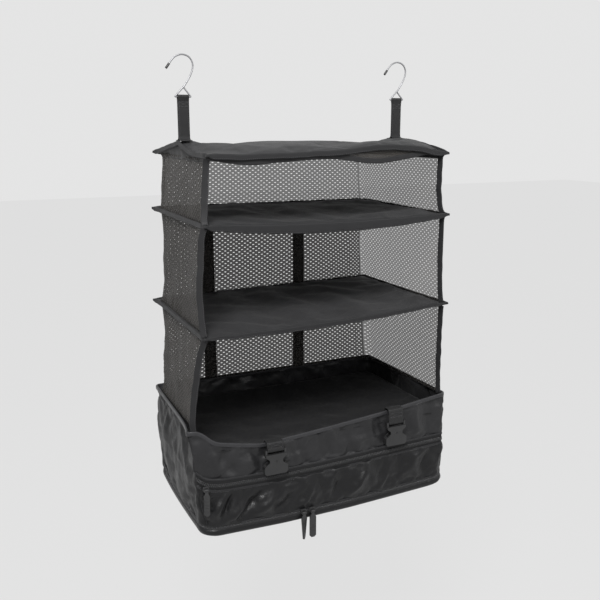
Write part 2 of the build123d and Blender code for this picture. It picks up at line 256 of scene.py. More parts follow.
def swept(name, path, across, profile, material, closed=False, widths=None):
    """Sweeps a section along a path; across is the direction of its width, which widths scales."""
    path = np.asarray(path, float)
    across = np.broadcast_to(np.asarray(across, float), path.shape)
    if closed:
        tangent = unit(np.roll(path, -1, 0) - np.roll(path, 1, 0))
    else:
        tangent = unit(np.gradient(path, axis=0))
    out = unit(np.cross(tangent, across))
    across = np.cross(out, tangent)
    widths = np.ones(len(path)) if widths is None else np.asarray(widths, float)
    wide = profile[None, :, 0, None] * widths[:, None, None] * across[:, None]
    thick = profile[None, :, 1, None] * out[:, None]
    points = (path[:, None] + (wide + thick)).reshape(-1, 3)
    n, m = len(path), len(profile)
    turns = n if closed else n - 1
    step = np.linalg.norm(np.diff(np.vstack([path, path[:1]]), axis=0), axis=1)
    along = np.concatenate([[0], np.cumsum(step)])
    girth = np.concatenate([[0], np.cumsum(np.linalg.norm(np.roll(profile, -1, 0) - profile, axis=1))])
    faces, uv = [], []
    for i in range(turns):
        j = (i + 1) % n
        for k in range(m):
            q = (k + 1) % m
            faces.append((i * m + k, j * m + k, j * m + q, i * m + q))
            uv += [(girth[k], along[i]), (girth[k], along[i + 1])]
            uv += [(girth[k + 1], along[i + 1]), (girth[k + 1], along[i])]
    if not closed:
        for first, flip in ((0, 1), ((n - 1) * m, -1)):
            faces.append(tuple(first + k for k in range(m))[::flip])
            uv += [tuple(p) for p in (profile + profile.min(0))][::flip]
    return build(name, points, faces, material, np.array(uv))


def beads(name, centres, along, up, length, width, height, material):
    """Many small rounded lengths of thread or wire, one at each centre."""
    ring = round_profile(0.5, 6)
    shape = [(-0.5, 0, 0), *((-0.3, y, z) for y, z in ring), *((0.3, y, z) for y, z in ring), (0.5, 0, 0)]
    shape = np.array(shape) * (length, width, height)
    sides = [(0, 1 + (k + 1) % 6, 1 + k) for k in range(6)]
    sides += [(1 + k, 1 + (k + 1) % 6, 7 + (k + 1) % 6, 7 + k) for k in range(6)]
    sides += [(7 + k, 7 + (k + 1) % 6, 13) for k in range(6)]
    centres = np.asarray(centres, float)
    along = unit(np.broadcast_to(np.asarray(along, float), centres.shape))
    up = np.broadcast_to(np.asarray(up, float), centres.shape)
    side = unit(np.cross(up, along))
    up = np.cross(along, side)
    frames = np.stack([along, side, up], 1)
    points = centres[:, None] + np.einsum("vk,nkd->nvd", shape, frames)
    faces = [[n * len(shape) + v for v in f] for n in range(len(centres)) for f in sides]
    uv = np.tile(shape[:, :2], (len(centres), 1))
    return build(name, points.reshape(-1, 3), faces, material, uv)


def stitches(name, path, up, pitch=3.4):
    """A row of stitches along a line; up points away from the cloth."""
    path = np.asarray(path, float)
    table = np.column_stack([path, np.broadcast_to(np.asarray(up, float), path.shape)])
    table = resampled(table, pitch)
    middle = (table[1:] + table[:-1]) / 2
    along = np.diff(table[:, :3], axis=0)
    return beads(name, middle[:, :3], along, middle[:, 3:], pitch * 0.72, 0.75, 0.55, THREAD)


def relaxed(points, faces, pinned, spare, cap, pressure=0.0, gravity=0.0, bend=0.4, frames=14):
    """Lets cloth with spare length settle between its pinned points; no point moves further than cap."""
    start = np.asarray(points, float)
    mesh = bpy.data.meshes.new("cloth")
    mesh.from_pydata((start * MM).tolist(), [], [list(map(int, f)) for f in faces])
    obj = bpy.data.objects.new("cloth", mesh)
    bpy.context.scene.collection.objects.link(obj)
    group = obj.vertex_groups.new(name="pin")
    group.add([int(i) for i in np.flatnonzero(pinned)], 1.0, "REPLACE")
    cloth = obj.modifiers.new("Cloth", "CLOTH")
    cloth.settings.vertex_group_mass = "pin"
    cloth.settings.quality = 6
    cloth.settings.mass = 0.15
    cloth.settings.tension_stiffness = cloth.settings.compression_stiffness = 18
    cloth.settings.shear_stiffness = 8
    cloth.settings.bending_stiffness = bend
    cloth.settings.shrink_min = -spare
    cloth.settings.use_pressure = pressure != 0
    cloth.settings.uniform_pressure_force = pressure
    cloth.settings.effector_weights.gravity = gravity
    cloth.collision_settings.use_collision = False
    cloth.point_cache.frame_start, cloth.point_cache.frame_end = 1, frames
    for number in range(1, frames + 1):
        bpy.context.scene.frame_set(number)
    done = obj.evaluated_get(bpy.context.evaluated_depsgraph_get()).to_mesh()
    settled = np.empty(len(start) * 3)
    done.vertices.foreach_get("co", settled)
    bpy.data.objects.remove(obj)
    bpy.context.scene.frame_set(1)
    moved = settled.reshape(-1, 3) / MM - start
    far = np.linalg.norm(moved, axis=1, keepdims=True)
    return start + moved * np.minimum(1.0, cap / np.maximum(far, 1e-6))


def softened(name, node, body, material, width, twist=0.0):
    """Shows a moulded or cast CAD node with its edges rounded; twist turns its end, in degrees."""
    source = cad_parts[node]
    work = bmesh.new()
    work.from_mesh(source.data)
    bmesh.ops.remove_doubles(work, verts=work.verts, dist=0.00001)
    bmesh.ops.dissolve_limit(work, angle_limit=math.radians(2), verts=work.verts, edges=work.edges)
    mesh = bpy.data.meshes.new(name)
    work.to_mesh(mesh)
    work.free()
    mesh.materials.append(material)
    obj = bpy.data.objects.new(name, mesh)
    bpy.context.scene.collection.objects.link(obj)
    bevel = obj.modifiers.new("Round", "BEVEL")
    bevel.width = width * MM
    bevel.segments = 3
    bevel.limit_method = "ANGLE"
    bevel.angle_limit = math.radians(40)
    applied(obj)
    if twist:
        points = np.array([vertex.co for vertex in obj.data.vertices])
        middle = (points.min(0) + points.max(0)) / 2
        turn = math.radians(twist) * smooth((points[:, 2].max() - points[:, 2] - 7 * MM) / (16 * MM))
        x, y = points[:, 0] - middle[0], points[:, 1] - middle[1]
        points[:, 0] = middle[0] + x * np.cos(turn) - y * np.sin(turn)
        points[:, 1] = middle[1] + x * np.sin(turn) + y * np.cos(turn)
        obj.data.vertices.foreach_set("co", points.ravel())
    obj.data.polygons.foreach_set("use_smooth", [True] * len(obj.data.polygons))
    obj.data.set_sharp_from_angle(angle=math.radians(38))
    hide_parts(node)
    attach(obj, body)


# ------------------------------------------------------------------ materials
class Shader:
    """Short calls for building one material's nodes."""

    def __init__(self, name):
        self.material = bpy.data.materials.new(name)
        self.material.use_nodes = True
        self.tree = self.material.node_tree
        self.tree.nodes.clear()
        self.surface = self.node("OutputMaterial")
        self.paint = self.node("BsdfPrincipled")
        self.link(self.paint, "BSDF", self.surface, "Surface")

    def node(self, kind, **settings):
        """A new shader node with its settings."""
        made = self.tree.nodes.new("ShaderNode" + kind)
        for key, value in settings.items():
            setattr(made, key, value)
        return made

    def link(self, source, out, target, into):
        self.tree.links.new(source.outputs[out], target.inputs[into])

    def noise(self, scale, detail, rough=0.55, distortion=0.0):
        """Irregular variation in the object's own coordinates; scale is per metre."""
        made = self.node("TexNoise")
        made.inputs["Scale"].default_value = scale
        made.inputs["Detail"].default_value = detail
        made.inputs["Roughness"].default_value = rough
        made.inputs["Distortion"].default_value = distortion
        self.link(self.node("TexCoord"), "Object", made, "Vector")
        return made

    def bands(self, direction, pitch):
        """Even ridges in the cloth's own coordinates, at a real pitch in metres."""
        made = self.node("TexWave", bands_direction=direction, wave_profile="SIN")
        made.inputs["Scale"].default_value = 2 * math.pi / (20 * pitch)
        made.inputs["Distortion"].default_value = 0.6
        made.inputs["Detail"].default_value = 1.0
        made.inputs["Detail Scale"].default_value = 0.6
        self.link(self.node("UVMap", uv_map="cloth"), "UV", made, "Vector")
        return made

    def both(self, operation, a, b):
        """One number from two number outputs."""
        made = self.node("Math", operation=operation)
        for index, (source, out) in enumerate((a, b)):
            self.tree.links.new(source.outputs[out], made.inputs[index])
        return made

    def ramp(self, source, out, stops):
        """Maps a number to a grey or colour by stops of (place, colour)."""
        made = self.node("ValToRGB")
        elements = made.color_ramp.elements
        while len(elements) < len(stops):
            elements.new(0.5)
        for element, (place, colour) in zip(elements, stops):
            element.position = place
            element.color = (*colour, 1.0) if len(colour) == 3 else (*colour * 3, 1.0)
        self.link(source, out, made, "Fac")
        return made

    def vary(self, socket, source, out, stops):
        """Lets a number drive one socket of the surface, by stops."""
        self.link(self.ramp(source, out, stops), "Color", self.paint, socket)

    def bump(self, source, out, strength, distance, under=None):
        """Adds relief of a real depth in metres on top of what is under it."""
        made = self.node("Bump")
        made.inputs["Strength"].default_value = strength
        made.inputs["Distance"].default_value = distance
        self.link(source, out, made, "Height")
        if under:
            self.link(under, "Normal", made, "Normal")
        return made

    def finish(self, normal=None, **sockets):
        """Sets the surface's plain numbers and its relief, and returns the material."""
        for key, value in sockets.items():
            self.paint.inputs[key.replace("_", " ")].default_value = value
        if normal:
            self.link(normal, "Normal", self.paint, "Normal")
        return self.material


def tint(colour, factor):
    """A lighter or darker tone of a colour."""
    return tuple(c * factor for c in colour)


def woven(name, colour, pitch, relief, rough, crinkle, gloss=0.25):
    """Woven cloth: warp and weft ridges, uneven dye, faint crinkles, and painted shade between the threads
    with painted highlight on their tops.
    """
    s = Shader(name)
    warp, weft = s.bands("X", pitch), s.bands("Y", pitch * 1.1)
    weave = s.both("MULTIPLY", (warp, "Fac"), (weft, "Fac"))
    blotch = s.noise(22.0, 5.0, 0.6)
    tone = s.ramp(blotch, "Fac", [
        (0.28, tint(colour, 0.7)),
        (0.52, colour),
        (0.76, tint(colour, 1.3)),
    ])
    # painted shade in the hollows between threads and painted highlight on their tops
    thread = s.ramp(weave, "Value", [(0.0, tint(colour, 0.45)), (0.75, tint(colour, 1.25))])
    mixed = s.node("MixRGB", blend_type="MIX")
    mixed.inputs["Fac"].default_value = 0.5
    s.link(tone, "Color", mixed, "Color1")
    s.link(thread, "Color", mixed, "Color2")
    s.link(mixed, "Color", s.paint, "Base Color")
    s.vary("Roughness", s.noise(55.0, 4.0, 0.6), "Fac", [(0.3, (rough - 0.09,)), (0.7, (rough + 0.09,))])
    threads = s.bump(weave, "Value", 0.6, relief)
    creases = s.bump(s.noise(30.0, 2.0, 0.5, 1.2), "Fac", 0.7, crinkle, threads)
    fine = s.bump(s.noise(140.0, 3.0, 0.6, 0.4), "Fac", 0.5, crinkle * 0.12, creases)
    return s.finish(fine, Sheen_Weight=0.03, Sheen_Roughness=0.45, Specular_IOR_Level=gloss)


def ribbed(name, colour, rib, relief, rough):
    """Tape or webbing: ribs across its length, finer threads along it, lighter on the ribs and darker between
    them, partly random wear and partly painted highlight on the ribs with painted shade between them.
    """
    s = Shader(name)
    across, along = s.bands("Y", rib), s.bands("X", rib * 0.8)
    weave = s.both("MULTIPLY", (across, "Fac"), (along, "Fac"))
    worn = s.noise(40.0, 4.0, 0.6)
    height = s.both("MULTIPLY", (weave, "Value"), (worn, "Fac"))
    # random wear, plus painted highlight on the ribs and painted shade between them
    rib_wear_and_shade = [(0.0, tint(colour, 0.5)), (0.25, colour), (0.6, tint(colour, 1.6))]
    s.vary("Base Color", height, "Value", rib_wear_and_shade)
    s.vary("Roughness", worn, "Fac", [(0.3, (rough - 0.08,)), (0.7, (rough + 0.08,))])
    ribs = s.bump(weave, "Value", 0.7, relief)
    return s.finish(ribs, Sheen_Weight=0.02, Sheen_Roughness=0.5, Specular_IOR_Level=0.25)


def moulded(name, colour, rough, grain, coat=0.0):
    """Moulded plastic, rubber or painted metal: fine grain, handling marks, uneven gloss."""
    s = Shader(name)
    marks = s.noise(90.0, 6.0, 0.65)
    handled = [(0.3, tint(colour, 0.8)), (0.6, colour), (0.8, tint(colour, 1.35))]
    s.vary("Base Color", marks, "Fac", handled)
    s.vary("Roughness", s.noise(60.0, 5.0, 0.6), "Fac", [(0.3, (rough - 0.07,)), (0.7, (rough + 0.1,))])
    pitted = s.bump(s.noise(2600.0, 2.0), "Fac", 0.5, grain)
    return s.finish(pitted, Metallic=0.0, Coat_Weight=coat, Coat_Roughness=0.3)


def knitted(name, colour, alpha):
    """Open warp-knit mesh: the fine loops between its holes, which stop a share alpha of the light, with
    uneven tone, painted shade between the loops and painted highlight on them.
    """
    s = Shader(name)
    loops = s.both("MULTIPLY", (s.bands("X", 0.0014), "Fac"), (s.bands("Y", 0.0010), "Fac"))
    blotch = s.noise(18.0, 4.0, 0.6)
    height = s.both("MULTIPLY", (loops, "Value"), (blotch, "Fac"))
    # uneven tone, plus painted shade between the loops and painted highlight on their tops
    knots = [(0.0, tint(colour, 0.6)), (0.25, colour), (0.6, tint(colour, 1.7))]
    s.vary("Base Color", height, "Value", knots)
    s.vary("Alpha", loops, "Value", [(0.0, (alpha - 0.12,)), (0.6, (alpha + 0.1,))])
    knit = s.bump(loops, "Value", 0.6, 0.00025)
    return s.finish(knit, Roughness=0.62, Sheen_Weight=0.03, Sheen_Roughness=0.4, Specular_IOR_Level=0.25)


def polished(name, colour):
    """Plated steel wire with faint drawing lines and small dull spots."""
    s = Shader(name)
    dull = s.noise(160.0, 5.0, 0.7)
    s.vary("Roughness", dull, "Fac", [(0.35, (0.50,)), (0.75, (0.64,))])
    s.vary("Base Color", dull, "Fac", [(0.3, colour), (0.8, tint(colour, 0.75))])
    return s.finish(s.bump(s.noise(900.0, 3.0), "Fac", 0.3, 0.00003), Metallic=1.0)


# the bag nylon again, darker and less glossy, for the two side walls: painted shade
SHADED_SIDE_NYLON = woven("shaded side nylon", (0.009, 0.009, 0.0095), 0.0009, 0.00008, 0.48, crinkle=0.0018, gloss=0.12)
NYLON = woven("bag nylon", (0.015, 0.015, 0.016), 0.0009, 0.00008, 0.34, crinkle=0.0022)
# the bag nylon again, darker: painted shade on the front below the zip, on the bottom tray and on the hinge
# strip
SHADED_NYLON = woven("shaded lower bag nylon", (0.006, 0.006, 0.0065), 0.0009, 0.00008, 0.34, crinkle=0.0022)
# the bag nylon again, lighter: a painted highlight along the rolled rim
HEM_CLOTH_WITH_HIGHLIGHT = woven("rolled hem, painted highlight", (0.026, 0.026, 0.028), 0.0009, 0.00010, 0.42, crinkle=0.0012)
PANEL_CLOTH = woven("panel cloth", (0.022, 0.022, 0.023), 0.0011, 0.00010, 0.62, crinkle=0.0010)
LINING = woven("deck cloth", (0.008, 0.008, 0.0085), 0.0010, 0.00010, 0.65, crinkle=0.0015)
TAPE = ribbed("binding tape", (0.013, 0.013, 0.014), 0.0012, 0.00016, 0.62)
ZIP_TAPE = ribbed("zip tape", (0.008, 0.008, 0.0085), 0.0009, 0.00012, 0.6)
WEBBING = ribbed("webbing", (0.012, 0.012, 0.0125), 0.0018, 0.00028, 0.6)
THREAD = moulded("thread", (0.03, 0.03, 0.032), 0.55, 0.00003)
COIL = moulded("zip coil nylon", (0.030, 0.030, 0.031), 0.32, 0.00001, coat=0.1)
CASTING = moulded("painted casting", (0.012, 0.012, 0.0125), 0.34, 0.00002, coat=0.3)
RUBBER = moulded("pull rubber", (0.014, 0.014, 0.0145), 0.6, 0.00008)
TIP_RUBBER = moulded("dipped rubber", (0.012, 0.012, 0.0125), 0.5, 0.00004)
ACETAL = moulded("buckle acetal", (0.012, 0.012, 0.0125), 0.36, 0.00005)
BOARD = moulded("board plastic", (0.05, 0.05, 0.052), 0.5, 0.00008)
WIRE = polished("plated wire", (0.30, 0.30, 0.31))
# how much of the light each mesh wall stops; every wall is the same knit, and the values also paint shade: a
# wall or tier in shade is made more opaque, so darker
MESH_COVER_AND_SHADE = {
    "upper": {"left": 0.78, "back": 0.58, "right": 0.54},
    "middle": {"left": 0.76, "back": 0.77, "right": 0.52},
    "lower": {"left": 0.82, "back": 0.76, "right": 0.58},
}
# the knit's material, one copy per wall, each carrying that wall's painted shade
SHADED_MESHES = {
    (tier, part): knitted(f"{tier} {part} mesh", (0.031, 0.028, 0.025), cover)
    for tier, covers in MESH_COVER_AND_SHADE.items()
    for part, cover in covers.items()
}


# ------------------------------------------------------------------ covered boards
def panel_points(name, a, b):
    """Middle surface of a covered board; a and b run -1..1 from left to right and from front to back."""
    low, high = PANELS[name]
    a, b = np.broadcast_arrays(np.asarray(a, float), np.asarray(b, float))
    left, front = (1 - a) / 2, (1 - b) / 2
    front_left = smooth((-a - 0.9) / 0.1) * smooth((-b - 0.85) / 0.15)
    x = a * (high[0] - EAR_INSET[name] - WAIST * (1 - np.abs(b) ** 12) * a**4) + 5 * front_left
    y = b * (high[1] - WAIST * (1 - np.abs(a) ** 16) * b**4) + 3 * front_left
    fl, fr, bl, br = DROOP[name]
    droop_front, droop_back = left * fl + (1 - left) * fr, left * bl + (1 - left) * br
    z = (low[2] + high[2]) / 2 + front * droop_front + (1 - front) * droop_back
    z = z - SAG[name] * (1 - a**2) * front
    if name == "top_panel":
        ridge = RIDGE + STRAP_TENT * np.exp(-(((np.abs(x) - STRAP_X) / 40) ** 2))
        ahead = np.clip(-b, 0, 1)
        roll = 1 - ahead**2.3
        end = np.where(a < 0, (1 - ahead) ** 2.4, 1 - ahead**1.7)
        outer = smooth((np.abs(a) - 0.66) / 0.32)
        shape = np.where(b > 0, 1 - b, roll * (1 - outer) + end * outer)
        z = z + ridge * shape + soft_line(x, FRONT_LIFT) * smooth((-b - 0.35) / 0.65)
    return np.stack([x, y, z], -1)


def off_axis(points, half_x=BASE_X, half_y=BASE_Y):
    """Level directions that face away from the middle, square to the walls and turning at the corners."""
    share = points[:, :2] / (half_x, half_y)
    facing = np.sign(share) * np.abs(share) ** 7
    return unit(np.column_stack([facing, np.zeros(len(points))]))


def border_points(name, p, inset):
    """Line round a covered board, at a share of its size: p 0..1 left side going back, 1..2 back,
    2..3 right side, 3..4 front."""
    p = np.asarray(p, float)
    corners_a, corners_b = (-1, -1, 1, 1, -1), (-1, 1, 1, -1, -1)
    a = np.interp(p, range(5), corners_a) * inset
    b = np.interp(p, range(5), corners_b) * inset
    return panel_points(name, a, b)


def sleeve(name, body, columns, rows, seed):
    """The sewn sleeve of a board, puffed a little, with puckers along its seams."""
    a, b = np.meshgrid(np.linspace(-1, 1, columns), np.linspace(-1, 1, rows))
    middle = panel_points(name, a.ravel(), b.ravel())
    edge = np.minimum(1 - np.abs(a), (1 - np.abs(b)) * 0.7).ravel()
    half = 0.7 + 2.2 * smooth(edge / 0.07)
    pucker = 0.5 * waves(middle, 24, seed) * np.exp(-edge / 0.10) + 0.45 * waves(middle, 70, seed + 1)
    top, under = middle.copy(), middle.copy()
    inner = edge > 1e-6
    top[:, 2] += half + pucker * inner
    under[:, 2] -= half - 0.4 * pucker * inner
    faces_top = grid_faces(rows, columns)
    count = rows * columns
    faces = [*faces_top, *(faces_top[:, ::-1] + count)]
    around = [*range(columns)] + [r * columns + columns - 1 for r in range(1, rows)]
    around += [count - 1 - c for c in range(1, columns)] + [r * columns for r in range(rows - 2, 0, -1)]
    for i, j in zip(around, around[1:] + around[:1]):
        faces.append((j, i, i + count, j + count))
    points = np.vstack([top, under])
    pinned = np.tile(edge < 0.02, 2)
    if name == "top_panel":
        sewn = (np.abs(np.abs(middle[:, 0]) - STRAP_X) < 11) & (np.abs(middle[:, 1]) < 17)
        pinned |= np.tile(sewn, 2)
    settled = relaxed(points, faces, pinned, spare=0.012, cap=4.5, pressure=0.35)
    floor = np.tile(middle[:, 2], 2) + np.repeat([1.3, -1.3], count)
    keep = np.tile(edge > 0.03, 2)
    above = np.arange(2 * count) < count
    settled[:, 2] = np.where(above & keep, np.maximum(settled[:, 2], floor), settled[:, 2])
    settled[:, 2] = np.where(~above & keep, np.minimum(settled[:, 2], floor), settled[:, 2])
    cover = build(f"{name}_sleeve", settled, faces, PANEL_CLOTH, points[:, :2])
    finer = cover.modifiers.new("Finer", "SUBSURF")
    finer.levels = finer.render_levels = 1
    applied(cover)
    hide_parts(f"{name}_cover")
    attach(cover, body)


def stiffener(name, body):
    """The plastic board inside a sleeve."""
    a, b = np.meshgrid(np.linspace(-0.95, 0.95, 25), np.linspace(-0.94, 0.94, 17))
    sheet = panel_points(name, a.ravel(), b.ravel())
    plate = build(f"{name}_stiffener", sheet, grid_faces(17, 25), BOARD, sheet[:, :2])
    thickened(plate, PLATE)
    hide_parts(f"{name}_board")
    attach(plate, body)


def on_front(p, ramp):
    """1 along the front of a board's border and 0 elsewhere, over a ramp at each end."""
    return smooth((p - 3.0) / ramp) * smooth((4.0 - p) / ramp)


def edging(name, body):
    """The tape folded round a board's edge, with pointed corners and a deeper front, and its stitching."""
    p = np.linspace(0, 4, 321)[:-1]
    p = p - 0.11 * np.sin(2 * math.pi * (p % 1))
    path = border_points(name, p, 1.0)
    ends, middle = HEM[name]
    hem = ends + (middle - ends) * smooth(1 - np.abs(p - 3.5) * 2) ** 0.5 * on_front(p, 0.16)
    tall = BINDING + on_front(p, 0.02) * (hem - 7.4)
    corner = np.minimum.reduce([np.abs(p - k) for k in range(5)])
    tall *= 0.5 + 0.5 * smooth(corner / 0.035)
    path[:, 2] += 4.2 - tall / 2 - 1.5 * (1 - smooth(corner / 0.035))
    path[:, 2] += 0.4 * waves(path, 30, 5)
    profile = flat_profile(BINDING, 3.0, 6)
    tape = swept(f"{name}_binding", path, (0, 0, 1), profile, TAPE, True, tall / BINDING)
    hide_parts(f"{name}_edging")
    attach(tape, body)
    outward = off_axis(path, *PANELS[name][1][:2])
    low_line = path + outward * 1.7
    low_line[:, 2] -= tall / 2 - 1.9
    sewn = corner > 0.03
    high_line = border_points(name, p, 0.974)
    high_line[:, 2] += 2.2
    for label, line, up in (("edge", low_line, outward), ("top", high_line, outward * 0 + (0, 0, 1))):
        for number in range(4):
            run = sewn & (p > number) & (p < number + 1)
            row = stitches(f"{name}_{label}_stitches_{number + 1}", line[run], up[run])
            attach(row, body)


for name, size in (("top_panel", (97, 65)), ("upper_shelf", (65, 45)), ("lower_shelf", (65, 45))):
    sleeve(name, name, *size, seed=len(name))
    stiffener(name, name)
    edging(name, name)


# ------------------------------------------------------------------ base bag outline
# extra radius of the corners at the foot: front right, back right, back left, front left
FOOT_ROUNDING = np.array((13.0, 24.0, 34.0, 18.0))
CORNER_X, CORNER_Y = np.array((1, 1, -1, -1)), np.array((-1, 1, 1, -1))
CORNER_RADIUS = 9


def bag_outline(side, f, high, flared=True):
    """Point on the bag's wall. side 0..7 goes front, corner, right, corner, back, corner, left, corner;
    f runs along it; high is 0 at the foot and 1 at the rim; flared pulls the front left corner out."""
    side, f, high = np.broadcast_arrays(np.asarray(side), np.asarray(f, float), np.asarray(high, float))
    hx, hy = BASE_X - 1 - 2 * (1 - high) ** 2, BASE_Y - 1 - 3 * high
    number = side // 2
    round_off = (1 - smooth(high / 0.5)) ** 1.5
    start, r = (CORNER_RADIUS + FOOT_ROUNDING[corner] * round_off for corner in (number - 1, number))
    along_x = -(hx - start) * (1 - f) + (hx - r) * f
    along_y = -(hy - start) * (1 - f) + (hy - r) * f
    turn = (f + number - 1) * math.pi / 2
    walls = [side == wall for wall in (0, 2, 4, 6)]
    x = np.select(walls, [along_x, hx, -along_x, -hx], CORNER_X[number] * (hx - r) + r * np.cos(turn))
    y = np.select(walls, [-hy, along_y, hy, -along_y], CORNER_Y[number] * (hy - r) + r * np.sin(turn))
    back = (y + BASE_Y) / (2 * BASE_Y)
    x = x * (1 - 0.03 * back * high)
    leftward = smooth((0.3 - x / BASE_X) / 1.2)
    x = x + leftward * (9 * (1 - back) * (1 - high) ** 3 + 8 * back**2 * (1 - high) ** 0.4)
    x = x + 4 * smooth(x / BASE_X) * (1 - high) ** 1.5
    belly = 6 * np.sin(math.pi * np.clip(high / 0.48, 0, 1)) + 1.2 * (1 - high) ** 2
    y = np.where(y < 0, y - belly * (1 - (x / BASE_X) ** 2), y)
    if flared:
        corner = np.exp(-np.hypot(x + BASE_X, y + BASE_Y) / 38) * high**1.2
        x, y = x - 15 * corner, y + 6 * corner
    return np.stack([x, y], -1)


# columns of the wall's grid: how many on each side and corner, and each one's side and place along it
BAG_SIDES = (132, 8, 76, 8, 132, 8, 76, 8)
BAG_SIDE = np.repeat(np.arange(8), BAG_SIDES)
BAG_F = np.concatenate([np.arange(n) / n for n in BAG_SIDES])
# rows of the grid: below the front zip and above it
ZIP_LOW, ZIP_HIGH = ZIP - 8.0, ZIP + 8.0
FOOT = BOTTOM + 12.5
SPLIT = 20
LEVELS = np.concatenate([np.linspace(FOOT, ZIP_LOW, SPLIT), np.linspace(ZIP_HIGH, RIM - 1, 24)])


def rim_points(side, f, flared=True):
    """The rim line, level at the sides and back, sagging across the front."""
    xy = bag_outline(side, f, 1.0, flared)
    front = smooth((-100 - xy[:, 1]) / 30)
    lifted = 6 * np.exp(-np.hypot(xy[:, 0] + BASE_X, xy[:, 1] + BASE_Y) / 30)
    return np.column_stack([xy, RIM - 1 + soft_line(xy[:, 0], RIM_SAG) * front + lifted])


# folds of the bag's cloth as (start, end, half width, height); places on the front are (x, z from the rim)
FRONT_FOLDS = (
    ((-184, -110), (-206, -156), 6, -10.0), ((-200, -112), (-218, -148), 8, 6.0),
    ((-156, -120), (-194, -164), 9, 7.5), ((-130, -122), (-184, -168), 6, -9.0),
    ((-96, -126), (-158, -168), 10, 6.0), ((-66, -128), (-112, -170), 7, -7.0),
    ((-30, -124), (-62, -168), 9, 6.5), ((24, -124), (0, -166), 8, -6.0),
    ((70, -114), (40, -166), 11, 5.0), ((120, -108), (92, -160), 9, -4.0),
    ((176, -108), (142, -162), 12, 2.5), ((214, -100), (192, -160), 9, -4.0),
    ((-222, -22), (-200, -82), 10, 4.5), ((-206, -34), (-176, -80), 10, -4.0),
    ((-158, -46), (-140, -82), 12, 4.0), ((-78, -44), (-70, -82), 9, -4.0),
    ((-52, -42), (-40, -80), 12, 4.0), ((-4, -38), (2, -82), 10, -3.5),
    ((40, -34), (60, -78), 12, 4.0), ((92, -30), (96, -80), 9, -3.5),
    ((170, -24), (186, -74), 12, 4.0), ((210, -14), (226, -68), 10, -3.5),
    ((-160, -62), (-20, -68), 8, 3.0), ((20, -62), (150, -52), 8, 2.5),
)
# places on the sides are (y, z from the rim)
SIDE_FOLDS = (
    ((-118, -20), (-90, -110), 20, 2.5), ((-70, -40), (-84, -140), 16, -2.5),
    ((-30, -18), (-50, -120), 22, 2.5), ((20, -30), (-6, -140), 18, -2.5),
    ((66, -18), (44, -126), 22, 2.5), ((108, -20), (120, -120), 16, -2.0),
    ((-100, -110), (-30, -160), 12, 3.0), ((60, -120), (116, -160), 12, 2.5),
)


def folded(points, outward, folds, along, where):
    """Raises or hollows the cloth along each fold; along is the axis (0 for x, 1 for y) that places use."""
    flat = np.column_stack([points[:, along], points[:, 2] - RIM])
    lift = np.zeros(len(points))
    for start, end, half, height in folds:
        start, end = np.array(start, float), np.array(end, float)
        way = end - start
        t = np.clip((flat - start) @ way / (way @ way), -0.3, 1.3)
        away = np.linalg.norm(flat - (start + t[:, None] * way), axis=1)
        taper = smooth(1 - np.abs(t - 0.5) / 0.8)
        lift += height * taper * np.exp(-((away / half) ** 2) * 1.6)
    return points + outward * (lift * where)[:, None]


def bag_wall():
    """The whole wall as one grid of points, foot to rim, settled as cloth and then folded."""
    high = (LEVELS - LEVELS[0]) / (LEVELS[-1] - LEVELS[0])
    grid = np.zeros((len(LEVELS), len(BAG_SIDE), 3))
    top = rim_points(BAG_SIDE, BAG_F)
    for row, (level, share) in enumerate(zip(LEVELS, high)):
        xy = bag_outline(BAG_SIDE, BAG_F, share)
        front = smooth((-95 - xy[:, 1]) / 35)
        above = np.clip((level - ZIP_HIGH) / (RIM - 1 - ZIP_HIGH), 0, 1)
        below = np.clip((level - FOOT) / (ZIP_LOW - FOOT), 0, 1)
        drop = (top[:, 2] - (RIM - 1)) * above
        rise = soft_line(xy[:, 0], ZIP_LINE) * front * below * (1 - above)
        back_left = 19 * np.exp(-np.hypot(xy[:, 0] + BASE_X, xy[:, 1] - BASE_Y) / 60)
        foot = (soft_line(xy[:, 0], FOOT_LINE) * front + back_left) * (1 - share) ** 2
        grid[row] = np.column_stack([xy, level + drop + rise + foot])
    pinned = np.zeros(grid.shape[:2], bool)
    pinned[0] = pinned[-1] = True
    for row in (SPLIT - 1, SPLIT):
        near = (BAG_SIDE == 0) * (1 - smooth((np.abs(grid[row, :, 0]) - ZIP_END + 6) / 8))
        grid[row, :, 1] += near * (ZIP_FACE + 0.2 - grid[row, :, 1])
        pinned[row] |= BAG_SIDE == 0
    points = grid.reshape(-1, 3)
    outward = off_axis(points)
    free = ~pinned.ravel()
    front = (points[:, 1] < -BASE_Y + 26) * free
    side = (np.abs(points[:, 0]) > BASE_X - 26) * (points[:, 1] > -BASE_Y + 12) * free
    rough = 1.1 * waves(points, 60, 3) + 0.3 * waves(points, 26, 4)
    points = points + outward * (rough * free)[:, None]
    faces = grid_faces(*grid.shape[:2], closed=True)
    settled = relaxed(points, faces, pinned.ravel(), spare=0.03, cap=5.0, pressure=0.35, bend=0.15)
    clear = smooth((np.abs(settled[:, 2] - ZIP) - 8) / 9) * smooth((settled[:, 2] - FOOT) / 14)
    clear *= smooth((RIM - 1 - settled[:, 2]) / 10)
    settled = folded(settled, outward, FRONT_FOLDS, 0, front * clear)
    settled = folded(settled, outward, SIDE_FOLDS, 1, side * clear)
    crease = (0.10 + 0.15 * front) * waves(settled, 18, 8) * free
    return (settled + outward * crease[:, None]).reshape(grid.shape)


WALL = bag_wall()
ALL_ROWS = np.arange(len(LEVELS))
COLUMN = np.arange(len(BAG_SIDE))
